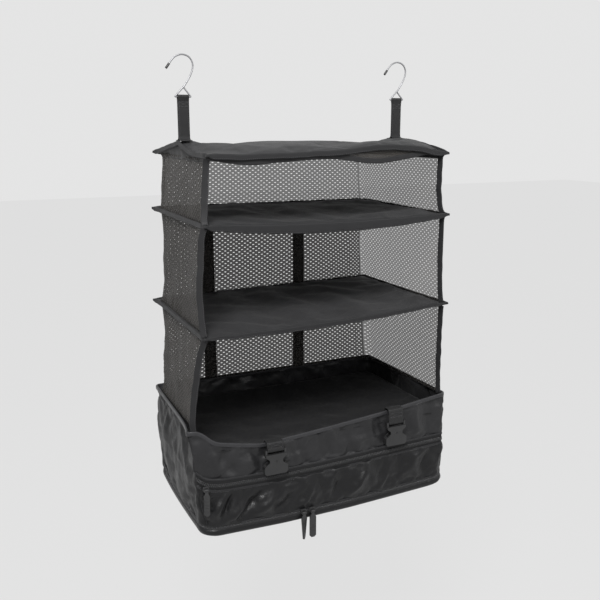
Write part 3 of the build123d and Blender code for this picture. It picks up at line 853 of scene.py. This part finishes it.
# first column of each side and corner, and how many columns past it the panels' seam runs
FIRST = np.concatenate([[0], np.cumsum(BAG_SIDES)])
SEAM = 4
FRONT_COLUMNS = np.concatenate([COLUMN[-SEAM:], COLUMN[: FIRST[1] + SEAM + 1]])
RIGHT_COLUMNS = COLUMN[FIRST[1] + SEAM : FIRST[3] + SEAM + 1]
BACK_COLUMNS = COLUMN[FIRST[3] + SEAM : FIRST[5] + SEAM + 1]
LEFT_COLUMNS = COLUMN[FIRST[5] + SEAM : FIRST[7] + SEAM + 1]


def bag_patch(name, node, rows, columns, material):
    """One sewn panel of the bag's wall, held by the piece along its edge."""
    patch = WALL[rows][:, columns]
    piece = grid_sheet(name, patch, material, BAG_CLOTH)
    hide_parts(node)
    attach(piece, "base_bag")


ABOVE_ZIP, BELOW_ZIP = ALL_ROWS[SPLIT:], ALL_ROWS[:SPLIT]
bag_patch("base_front_above_zip", "base_front_upper", ABOVE_ZIP, FRONT_COLUMNS, NYLON)
# below the zip the front gets the darker copy of the nylon: painted shade
bag_patch("base_front_below_zip", "base_front_lower", BELOW_ZIP, FRONT_COLUMNS, SHADED_NYLON)
# the side walls get the darker copy of the nylon: painted shade
bag_patch("base_left_side", "base_left_wall", ALL_ROWS, LEFT_COLUMNS, SHADED_SIDE_NYLON)
bag_patch("base_right_side", "base_right_wall", ALL_ROWS, RIGHT_COLUMNS, SHADED_SIDE_NYLON)
bag_patch("base_back", "base_back_wall", ALL_ROWS, BACK_COLUMNS, NYLON)


def bag_trim():
    """Binding and stitching along the rim, and welts where the bag's panels join."""
    rim = WALL[-1] + (0, 0, 0.2)
    # the rim binding's lighter cloth is a painted highlight along the rim
    tape = swept("rim_binding", rim, (0, 0, 1), flat_profile(8.0, 3.6, 5), HEM_CLOTH_WITH_HIGHLIGHT, True)
    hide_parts("rim_tape")
    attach(tape, "base_bag")
    outward = unit((WALL[-1] - WALL[-1].mean(0)) * (1, 1, 0))
    line = WALL[-2] * 0.55 + WALL[-1] * 0.45 + outward * 0.8
    line, outward = (np.vstack([ring, ring[:1]]) for ring in (line, outward))
    row = stitches("rim_stitches", line, outward)
    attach(row, "base_bag")
    corners = (COLUMN[-SEAM], FIRST[1] + SEAM, FIRST[3] + SEAM, FIRST[5] + SEAM)
    for number, column in enumerate(corners, 1):
        seam = resampled(WALL[:, column], 4)
        seam = seam + off_axis(seam) * 0.2
        welt = swept(f"corner_welt_{number}", seam, (1, 0, 0), round_profile(0.9), TAPE)
        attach(welt, "base_bag")
    foot = WALL[0] + (0, 0, 0.8)
    welt = swept("foot_welt", foot, (0, 0, 1), flat_profile(4.4, 2.6, 3), TAPE, True)
    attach(welt, "base_bag")


bag_trim()


def deck():
    """The cloth that closes the bag below the shelf space, hollowed by its load."""
    columns, rows = 49, 29
    a, b = np.meshgrid(np.linspace(-1, 1, columns), np.linspace(-1, 1, rows))
    a, b = a.ravel(), b.ravel()
    edge = 1 - np.maximum(np.abs(a), np.abs(b))
    x = a * (BASE_X - 7 - 5 * (np.abs(b) ** 8) * (np.abs(a) ** 8))
    y = b * (BASE_Y - 5)
    z = DECK + 4 * np.exp(-edge / 0.06) - 4 * smooth(edge / 0.5)
    points = np.column_stack([x, y, z])
    points[:, 2] += 1.2 * waves(points, 60, 12) * (edge > 1e-6)
    faces = grid_faces(rows, columns)
    settled = relaxed(points, faces, edge < 1e-6, spare=0.015, cap=8.0, gravity=0.3)
    piece = build("deck_cloth", settled, faces, LINING, points[:, :2])
    thickened(piece, BAG_CLOTH, subdivide=1)
    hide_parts("deck")
    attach(piece, "base_bag")


deck()


# ------------------------------------------------------------------ bottom panel
def dish(outline, levels):
    """Rings that shrink from an outline to its middle, as (share of the outline, height) levels."""
    rings = [outline * (scale, scale, 0) + (0, 0, height) for scale, height in levels]
    grid = np.array(rings)
    faces = grid_faces(len(levels), len(outline), closed=True)
    last = (len(levels) - 1) * len(outline)
    faces = [*faces, [last + k for k in range(len(outline))]]
    uv = grid[..., :2].reshape(-1, 2) + np.repeat(np.array(levels)[:, 1:] - BOTTOM, len(outline), 0)
    return grid, faces, uv


def bottom_panel():
    """The zipped tray under the bag, with rounded sides, its bound edge and the board inside it."""
    foot = WALL[0]
    raised = (foot[:, 2] - FOOT)[None, :]
    levels = (
        (1.002, 8.6), (1.009, 5.2), (1.012, 1.6), (1.006, -2.0), (0.990, -4.2), (0.965, -4.8),
        (0.93, -4.2), (0.86, -2.2), (0.65, 0.2), (0.4, 1.0), (0.2, 1.2), (0.06, 1.2),
    )
    grid, faces, uv = dish(foot, [(scale, BOTTOM + lift) for scale, lift in levels])
    shares = np.array(levels)[:, :1]
    grid[..., 2] += raised * shares**5
    grid[..., 2] += 0.7 * waves(grid.reshape(-1, 3), 60, 21).reshape(grid.shape[:2]) * (shares < 0.9)
    piece = build("bottom_tray", grid.reshape(-1, 3), faces, SHADED_NYLON, uv)
    thickened(piece, TRAY_CLOTH)
    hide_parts("bottom_panel")
    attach(piece, "bottom_lid")
    rings, faces, uv = dish(foot, [(scale, BOTTOM + 3.4) for scale in (0.93, 0.9, 0.7, 0.4, 0.1)])
    rings[..., 2] += raised * 0.5 * np.array([1, 0.8, 0.2, 0, 0])[:, None]
    board = build("bottom_stiffener", rings.reshape(-1, 3), faces, BOARD, uv)
    thickened(board, PLATE)
    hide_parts("bottom_board")
    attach(board, "bottom_lid")
    lip = grid[0] + (0, 0, -0.6)
    welt = swept("tray_welt", lip, (0, 0, 1), flat_profile(3.6, 1.6, 3), TAPE, True)
    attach(welt, "bottom_lid")


bottom_panel()


def hinge_strip():
    """The cloth that joins the tray's back edge to the bag's back wall, built as a fixed strip attached to no
    body.
    """
    x = np.linspace(-1, 1, 61) * (BASE_X - 44)
    heights = np.linspace(FOOT + 3.0, BOTTOM + 0.6, 9)
    grid = np.stack(np.meshgrid(x, heights), -1)
    grid = np.insert(grid, 1, BASE_Y - 2.8, axis=2)
    strip = grid_sheet("hinge_cloth", grid, SHADED_NYLON, BAG_CLOTH)
    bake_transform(strip)


hinge_strip()


# ------------------------------------------------------------------ zippers
def coil_teeth(name, path, up, out, width, pitch=2.7):
    """A closed coil: slanting turns from both sides that meet in the middle of the chain."""
    table = np.column_stack([path, np.broadcast_to(up, path.shape), np.broadcast_to(out, path.shape)])
    table = resampled(table, pitch / 2)
    middle, up, out = table[:, :3], unit(table[:, 3:6]), unit(table[:, 6:])
    along = unit(np.gradient(middle, axis=0))
    side = np.where(np.arange(len(middle)) % 2 == 0, 1.0, -1.0)[:, None]
    centres = middle + side * up * width * 0.21 + out * 0.3
    lean = up * side + along * 0.32
    return beads(name, centres, lean, out, width * 0.66, 1.5, 1.9, COIL)


def front_zip():
    """Tape, stitching and coil across the front, between the two halves of its wall."""
    low, high = WALL[SPLIT - 1, FRONT_COLUMNS], WALL[SPLIT, FRONT_COLUMNS]
    rows = 5
    share = np.linspace(-0.12, 1.12, rows)[:, None, None]
    grid = low + (high - low) * share
    bow = np.sin(np.linspace(0, math.pi, rows))[:, None]
    grid[..., 1] += 0.9 - 0.6 * bow
    faces, uv = grid_faces(*grid.shape[:2]), grid_uv(grid)[:, ::-1]
    tape = build("front_zip_cloth", grid.reshape(-1, 3), faces, ZIP_TAPE, uv)
    thickened(tape, 0.8, subdivide=1)
    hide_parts("front_zip_tape")
    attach(tape, "base_bag")
    middle = (low + high) / 2
    middle[:, 1] -= 1.0
    teeth = coil_teeth("front_zip_teeth", middle, (0, 0, 1), (0, -1, 0), width=7.0, pitch=3.2)
    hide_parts("front_zip_coil")
    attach(teeth, "base_bag")
    profile = flat_profile(3.6, 1.3, 3)
    for label, line, shift in (("upper", high, 1.6), ("lower", low, -1.6)):
        edge = line + (0, -0.4, shift)
        fold = swept(f"front_zip_{label}_fold", edge, (0, 0, 1), profile, NYLON)
        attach(fold, "base_bag")
        row = stitches(f"front_zip_{label}_stitches", edge + (0, -0.7, shift * 1.2), (0, -1, 0))
        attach(row, "base_bag")


def bottom_zip():
    """The coil round the front and sides of the bag's foot, and its tape on the wall above."""
    start, stop = FIRST[6] + 4, FIRST[3] - 4
    columns = np.concatenate([COLUMN[start:], COLUMN[:stop]])
    foot = WALL[0, columns]
    outward = off_axis(foot)
    line = foot + outward * 0.6
    line[:, 2] -= 2.0
    teeth = coil_teeth("bottom_zip_teeth", line, (0, 0, 1), outward, width=4.2)
    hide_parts("bottom_zip_coil")
    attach(teeth, "base_bag")
    tape_line = foot - outward * 0.6
    tape_line[:, 2] -= 1.9
    tape = swept("bottom_zip_cloth", tape_line, (0, 0, 1), flat_profile(6.4, 1.0, 4), ZIP_TAPE)
    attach(tape, "base_bag")


front_zip()
bottom_zip()
softened("front_slider_body", "front_zip_slider", "front_slider", CASTING, 0.35)
softened("front_pull_tab", "front_zip_pull", "front_pull", RUBBER, 0.4, twist=-28)
for side, twist in (("left", 52), ("right", 0)):
    softened(f"bottom_{side}_slider_body", f"bottom_{side}_slider", f"{side}_bottom_slider", CASTING, 0.35)
    softened(f"bottom_{side}_pull_tab", f"bottom_{side}_pull", f"{side}_bottom_pull", RUBBER, 0.4, twist)


# ------------------------------------------------------------------ mesh walls
# walls of a tier by their start and end round it: 0 front left, 1 back left, 2 back right, 3 front right
WALL_SPANS = {"left": (0.018, 1.003), "back": (1.0, 2.003), "right": (2.0, 2.982)}
NET_INSET = 0.978
# how far each tier's walls stand off their straight lines at mid-height: (place round the tier, x, y)
WAISTS = {
    "upper": ((0, 0, 7), (0.5, 2, 0), (1, 3, -4), (1.5, 0, -5), (2, -6, -6), (2.5, -4, 0), (3, -2.5, 7)),
    "middle": ((0, -7, 6), (0.5, 3, 0), (1, 5.5, -5), (1.5, 0, -5), (2, -6, -6), (2.5, -3, 0), (3, 1, 7)),
    "lower": ((0, -5, 6), (0.5, 2, 0), (1, 5.5, -5), (1.5, 0, -5), (2, -5, -5), (2.5, -2, 0), (3, 3, 7)),
}


def turned(line, p):
    """Follows a tier's line round with its two back corners rounded."""
    p = np.asarray(p, float)
    near = np.exp(-(((p - 1) / 0.22) ** 2)) + np.exp(-(((p - 2) / 0.22) ** 2))
    shifts = np.linspace(-0.07, 0.07, 7)
    return np.mean([line(np.clip(p + shift * near, 0, 3)) for shift in shifts], axis=0)


def wall_ends(tier, p):
    """Bottom and top lines of a tier's wall, going round it."""
    above, below = TIERS[tier]

    def upper(q):
        line = border_points(above, q, NET_INSET)
        line[:, 2] = np.minimum(line[:, 2] - 2.6, PANELS[above][1][2] - 5)
        return line

    def rim(q):
        whole = np.floor(np.clip(q, 0, 2.999)).astype(int)
        side = np.select([whole == 0, whole == 1, whole == 2], [6, 4, 2])
        line = rim_points(side, 1 - (q - whole), flared=False)
        return line * (0.98, 0.98, 1) + (0, 0, 1)

    def lower(q):
        return border_points(below, q, NET_INSET) + (0, 0, 2.8)

    return turned(rim if below == "base_bag" else lower, p), turned(upper, p)


def wall_points(tier, p, t):
    """Point on a tier's mesh wall: p 0..3 goes round from the front left, t from bottom to top."""
    p, t = np.asarray(p, float), np.asarray(t, float)
    low, top = wall_ends(tier, p)
    base = low + (top - low) * t[:, None]
    turn = np.pi / 2 * (smooth((p - 0.94) / 0.12) + smooth((p - 1.94) / 0.12))
    inward = np.column_stack([np.cos(turn), -np.sin(turn), np.zeros_like(turn)])
    arch = np.clip(4 * t * (1 - t), 0, 1) ** 0.45
    knots = np.array(WAISTS[tier], float)
    cell = np.clip(np.searchsorted(knots[:, 0], p) - 1, 0, len(knots) - 2)
    part = smooth((p - knots[cell, 0]) * 2)[:, None]
    waist = knots[cell, 1:] * (1 - part) + knots[cell + 1, 1:] * part
    depth = 1.2 * arch * waves(base, 75, 31) + 0.5 * arch * waves(base, 30, 32)
    height = (top - low)[:, 2]
    near_low = np.exp(-t * height / 18) * smooth(t * height / 6)
    near_top = np.exp(-(1 - t) * height / 12) * smooth((1 - t) * height / 5)
    depth += 0.9 * (near_low + near_top) * waves(base * (1, 1, 0.05), 24, 33)
    moved = base + inward * depth[:, None]
    moved[:, :2] += waist * arch[:, None]
    return moved


def net(tier, part):
    """One mesh wall with its holes in staggered rows, and its flat size in metres."""
    start, stop = WALL_SPANS[part]
    p_line = np.linspace(start, stop, 60)
    waist_line = wall_points(tier, p_line, np.full(60, 0.5))
    length = np.linalg.norm(np.diff(waist_line, axis=0), axis=1).sum()
    low, top = wall_ends(tier, p_line)
    height = float(np.mean((top - low)[:, 2]))
    columns = 2 * int(round(length / HOLE_HALF_PITCH / 2))
    rows = int(round(height / HOLE_ROW))
    lattice = [(c, r) for r in range(rows + 1) for c in range(columns + 1)]
    at = {cell: index for index, cell in enumerate(lattice)}
    places, faces = [(float(c), float(r)) for c, r in lattice], []
    hx, hy = HOLE_HALF
    rim = ((-hx, -0.6 * hy), (0, -hy), (hx, -0.6 * hy), (hx, 0.6 * hy), (0, hy), (-hx, 0.6 * hy))
    for r in range(rows):
        for a in range(r % 2, columns - 1, 2):
            outer = [at[a + dc, r + dr] for dc, dr in ((0, 0), (1, 0), (2, 0), (2, 1), (1, 1), (0, 1))]
            first = len(places)
            places += [(a + 1 + dx, r + 0.5 + dy) for dx, dy in rim]
            for k in range(6):
                q = (k + 1) % 6
                faces.append((outer[k], outer[q], first + q, first + k))
        if r % 2:
            for a in (0, columns - 1):
                faces.append((at[a, r], at[a + 1, r], at[a + 1, r + 1], at[a, r + 1]))
    places = np.array(places)
    p = start + (stop - start) * places[:, 0] / columns
    t = places[:, 1] / rows
    uv = np.column_stack([places[:, 0] * length / columns, places[:, 1] * height / rows])
    piece = build(f"{tier}_{part}_net", wall_points(tier, p, t), faces, SHADED_MESHES[tier, part], uv)
    thickened(piece, KNIT)
    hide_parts(f"{tier}_{part}_mesh")
    return piece, (length * MM, height * MM)


def crossing(piece):
    """Bakes a tier's cloth piece's placement into its mesh; the piece is attached to no body."""
    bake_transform(piece)


def tier_walls(tier):
    """Left, back and right mesh walls of one tier, with a binding tape down each front edge."""
    for part in WALL_SPANS:
        piece, flat = net(tier, part)
        crossing(piece)
    t = np.linspace(-0.01, 1.01, 48)
    for side, p, place, width_way in (
        ("left", WALL_SPANS["left"][0], (-3.0, -2.0, 0), (0.93, -0.36, 0)),
        ("right", WALL_SPANS["right"][1], (-1.0, -2.5, 0), (-0.35, 0.94, 0)),
    ):
        line = wall_points(tier, np.full(48, p), t) + place
        tape = swept(
            f"{tier}_{side}_edge_tape", line, width_way, flat_profile(10.5, 2.0, 6), TAPE,
            widths=1 + 0.05 * waves(line, 40, 41),
        )
        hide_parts(f"{tier}_{side}_tape")
        crossing(tape)
        sewn = line + np.array(width_way) * 3.6 + (0, -1.1, 0)
        row = stitches(f"{tier}_{side}_tape_stitches", sewn, (0, -1, 0))
        crossing(row)


for tier in TIERS:
    tier_walls(tier)


# ------------------------------------------------------------------ hems under the top panel
def valance():
    """The narrow mesh strip under the front edge and the wavy tape along its lower edge."""
    x = np.linspace(-214, 200, 108)
    half_width, _, level = PANELS["top_panel"][1]
    edge = panel_points("top_panel", x / half_width, np.full(len(x), -0.97))
    edge[:, 2] -= 2.5
    y = edge[:, 1] + 1.0 - 2.0 * np.sin(x / 30) ** 2
    low = np.column_stack([x, y, level + soft_line(x, VALANCE_LINE) + 4.5])
    share = np.linspace(0, 1, 8)[:, None, None]
    grid = edge * (1 - share) + (low - (0, 0, 4.2)) * share
    strip = grid_sheet("valance_cloth", grid, SHADED_MESHES["middle", "back"], 0.6, subdivide=1)
    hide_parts("top_valance")
    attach(strip, "top_panel")
    tape = swept("valance_tape", low, (0, 0, 1), flat_profile(9.0, 1.8, 4), TAPE)
    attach(tape, "top_panel")


def side_bands():
    """Plain cloth between the lifted side edges of the top panel and the mesh below it."""
    for side, start, stop, sign in (("left", 0.03, 0.96, -1), ("right", 2.04, 2.97, 1)):
        p = np.linspace(start, stop, 60)
        top = border_points("top_panel", p, 0.985)
        top[:, 2] -= 1.0
        low = wall_points("upper", p, np.full(60, 0.93))
        share = np.linspace(0, 1, 8)[:, None, None]
        grid = top * (1 - share) + low * share
        grid[..., 0] -= sign * 1.0 * np.sin(share[..., 0] * math.pi) * (1 + 0.3 * waves(low, 30, 52))
        band = grid_sheet(f"{side}_side_band", grid, PANEL_CLOTH, 0.7, subdivide=1)
        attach(band, "top_panel")


valance()
side_bands()


# ------------------------------------------------------------------ webbing
def box_stitch(name, centre, width, height, out, body):
    """An upright rectangle of stitches with a cross inside it, sewn through webbing that faces out."""
    w, h = np.array([width / 2, 0, 0]), np.array([0, 0, height / 2])
    corners = [-w - h, w - h, w + h, -w + h, -w - h, w + h, w - h, -w + h]
    line = np.vstack([spread(a, b, 12) for a, b in zip(corners, corners[1:])]) + centre
    row = stitches(name, line, out, pitch=2.4)
    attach(row, body)


def webbing(name, path, wide):
    """Webbing of a given width that lies level across and runs along a smooth line."""
    return swept(name, curve_through(path, 5), (1, 0, 0), flat_profile(wide, WEB), WEBBING)


def hanging_strap(side):
    """Webbing looped through the hook's triangle, its two layers sewn together down to the panel."""
    low, high = limits(f"{side}_hanging_strap")
    x, bar = (low[0] + high[0]) / 2, high[2] - 3.4
    wide = high[0] - low[0]
    foot = float(panel_points("top_panel", x / PANELS["top_panel"][1][0], 0.0)[2]) + 3.2
    turn = np.linspace(-0.35, math.pi + 0.35, 13)
    round_bar = [(x, 2.7 * math.cos(a), bar + 2.7 * math.sin(a)) for a in turn]
    path = [(x, 15, foot - 0.6), (x, 7, foot + 0.3), (x, 2.2, foot + 2.6), (x, 0.95, foot + 9)]
    path += [(x, 0.85, (foot + bar) / 2), (x, 1.0, bar - 11), (x, 1.7, bar - 5)]
    path += round_bar
    path += [(x, -1.7, bar - 5), (x, -1.0, bar - 11), (x, -0.85, (foot + bar) / 2), (x, -0.95, foot + 9)]
    path += [(x, -2.2, foot + 2.6), (x, -7, foot + 0.3), (x, -15, foot - 0.6)]
    strap = webbing(f"{side}_strap_webbing", path, wide)
    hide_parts(f"{side}_hanging_strap")
    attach(strap, "top_panel")
    for edge, seam_x in (("left", x - wide / 2 + 2.4), ("right", x + wide / 2 - 2.4)):
        rail = spread((seam_x, -1.75, foot + 9), (seam_x, -1.9, bar - 9), 30)
        row = stitches(f"{side}_strap_stitches_{edge}", rail, (0, -1, 0), 3.0)
        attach(row, "top_panel")
    box_stitch(f"{side}_strap_top_stitch", (x, -1.9, bar - 12), wide - 5, 8, (0, -1, 0), "top_panel")


def rear_strap(side):
    """A compression strap from the upper shelf's rear edge to its buckle."""
    low, high = limits(f"{side}_rear_strap")
    x, wide = (low[0] + high[0]) / 2, high[0] - low[0]
    bar_low, bar_high = limits(f"{side}_rear_buckle")
    bar = bar_high[2] - 1.8
    y = (bar_low[1] + bar_high[1]) / 2
    top = high[2]
    turn = np.linspace(0.3, -math.pi - 0.3, 13)
    round_bar = [(x, y + 3.0 * math.cos(a), bar + 3.0 * math.sin(a)) for a in turn]
    path = [(x, y - 0.8, top - 1), (x, y + 0.2, top - 12), (x, y + 0.8, top - 60), (x, y - 0.2, top - 130)]
    path += [(x, y + 0.6, top - 210), (x, y + 0.2, top - 290), (x, y + 1.4, bar + 12)]
    path += round_bar
    path += [(x, y - 1.0, bar + 12), (x, y - 1.2, bar + 30), (x, y - 1.2, bar + 44)]
    strap = webbing(f"{side}_rear_webbing", path, wide)
    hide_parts(f"{side}_rear_strap")
    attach(strap, "upper_shelf")
    box_stitch(f"{side}_rear_box_stitch", (x, y + 1.7, bar + 26), wide - 6, 18, (0, 1, 0), "upper_shelf")


def front_loop(side):
    """Webbing sewn inside the bag, over its rim and round the socket half's bar."""
    low, high = limits(f"{side}_front_webbing")
    x, wide = (low[0] + high[0]) / 2, high[0] - low[0]
    buckle_low, buckle_high = limits(f"{side}_front_buckle")
    bar, y = buckle_high[2] - 1.8, (buckle_low[1] + buckle_high[1]) / 2
    crest = high[2]
    inside = ZIP_FACE + 8.2
    path = [(x, inside, crest - 26), (x, inside, crest - 10), (x, inside - 1.6, crest - 2)]
    path += [(x, inside - 5, crest + 0.6), (x, y + 2, crest - 0.2), (x, y - 0.6, crest - 4)]
    path += [(x, y - 1.4, crest - 12), (x, y - 2.4, bar + 4)]
    path += [(x, y - 3.0 * math.cos(a), bar - 3.0 * math.sin(a)) for a in np.linspace(0, math.pi, 9)]
    path += [(x, y + 2.0, bar + 6), (x, y + 1.6, bar + 14)]
    web = webbing(f"{side}_front_web", path, wide)
    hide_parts(f"{side}_front_webbing")
    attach(web, "base_bag")
    centre, height = (x, y - 2.4, (bar + crest) / 2 + 2), max(8.0, crest - bar - 18)
    box_stitch(f"{side}_front_stitch", centre, wide - 6, height, (0, -1, 0), "base_bag")


for side in ("left", "right"):
    hanging_strap(side)
    rear_strap(side)
    front_loop(side)
    softened(f"{side}_socket_body", f"{side}_front_buckle", f"{side}_socket", ACETAL, 0.7)
    softened(f"{side}_plug_body", f"{side}_rear_buckle", f"{side}_plug", ACETAL, 0.5)


# ------------------------------------------------------------------ hooks
# middle line of the wire, from the middle of the triangle's flat bar: crook as (x, z), triangle as (x, y, z)
HOOK_CROOK = (
    (-26, 46), (-20.2, 54), (-12, 63), (0, 67.2), (12, 63.6), (18.2, 53.5), (17, 42), (11, 29.5), (3.5, 18),
)
HOOK_EYE = ((-14, 0, 0), (14, 0, 0), (1, 3.3, 17))


def hook(side):
    """Plated wire bent in one run (crook, neck and the triangle for the strap), its end dipped in rubber."""
    strap_low, strap_high = limits(f"{side}_hanging_strap")
    bar = np.array([(strap_low[0] + strap_high[0]) / 2, 0, limits(f"{side}_hook")[0][2] + 1.5])
    crook = curve_through([(x, 0, z) for x, z in HOOK_CROOK])
    bends = bar + np.vstack([crook, HOOK_EYE])
    along = np.concatenate([[0], np.cumsum(np.linalg.norm(np.diff(bends, axis=0), axis=1))]) * 6
    places = np.arange(0, along[-1], 4)
    path = np.column_stack([soft_line(places, [*zip(along, bends[:, axis])]) for axis in range(3)])
    wire = swept(f"{side}_hook_wire", path, (0, 1, 0), round_profile(1.35, 12), WIRE)
    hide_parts(f"{side}_hook")
    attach(wire, "hooks")
    end = bar + spread((-27.2, 0, 44.4), (-21.3, 0, 52.5), 13)
    taper = np.array([0.35, 0.75, 0.95] + [1.0] * 9 + [0.85])
    profile = round_profile(2.0, 12)
    dip = swept(f"{side}_hook_dip", end, (0, 1, 0), profile, TIP_RUBBER, widths=taper)
    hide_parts(f"{side}_hook_tip")
    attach(dip, "hooks")


for side in ("left", "right"):
    hook(side)


# ------------------------------------------------------------------ stage, light and camera
def stage():
    """A large pale floor well below the hanging cube, and a pale world."""
    floor_z = (BOTTOM - 700) * MM
    half = 14.0
    mesh = bpy.data.meshes.new("floor")
    corners = [(sx * half, sy * half, floor_z) for sx, sy in ((-1, -1), (1, -1), (1, 1), (-1, 1))]
    mesh.from_pydata(corners, [], [(0, 1, 2, 3)])
    s = Shader("floor paint")
    s.finish(
        Base_Color=(0.06, 0.06, 0.06, 1), Roughness=1.0, Specular_IOR_Level=0.0,
        Emission_Color=(1, 1, 1, 1), Emission_Strength=0.69,
    )
    mesh.materials.append(s.material)
    floor = bpy.data.objects.new("floor", mesh)
    bpy.context.scene.collection.objects.link(floor)
    world = bpy.data.worlds.new("studio")
    world.use_nodes = True
    backdrop = world.node_tree.nodes["Background"]
    backdrop.inputs["Color"].default_value = (0.78, 0.78, 0.78, 1)
    backdrop.inputs["Strength"].default_value = 1.0
    bpy.context.scene.world = world


def area_light(name, place, aim, size, power):
    """A square lamp at a place, turned to its aim; lengths in metres, power in watts."""
    light = bpy.data.lights.new(name, "AREA")
    light.size = size
    light.energy = power
    obj = bpy.data.objects.new(name, light)
    bpy.context.scene.collection.objects.link(obj)
    obj.location = place
    way = np.array(aim, float) - np.array(place, float)
    yaw = math.atan2(-way[0], way[1])
    pitch = math.atan2(way[2], math.hypot(way[0], way[1]))
    obj.rotation_euler = (math.pi / 2 + pitch, 0, yaw)


def camera():
    """A camera in front of the cube, to its left and a little above its middle."""
    lens = bpy.data.cameras.new("camera")
    lens.lens = 46.58
    lens.sensor_width = 36.0
    obj = bpy.data.objects.new("camera", lens)
    bpy.context.scene.collection.objects.link(obj)
    obj.location = (-0.590, -1.283, -0.110)
    obj.rotation_euler = (math.radians(90 - 12.75), 0, math.radians(-24.97))
    bpy.context.scene.camera = obj


stage()
area_light("key", (-1.1, -1.7, 1.5), (0, 0, -0.45), 0.9, 115)
area_light("fill", (1.6, -1.2, 0.4), (0, 0, -0.5), 1.2, 12)
camera()
bpy.context.scene.view_settings.view_transform = "Standard"
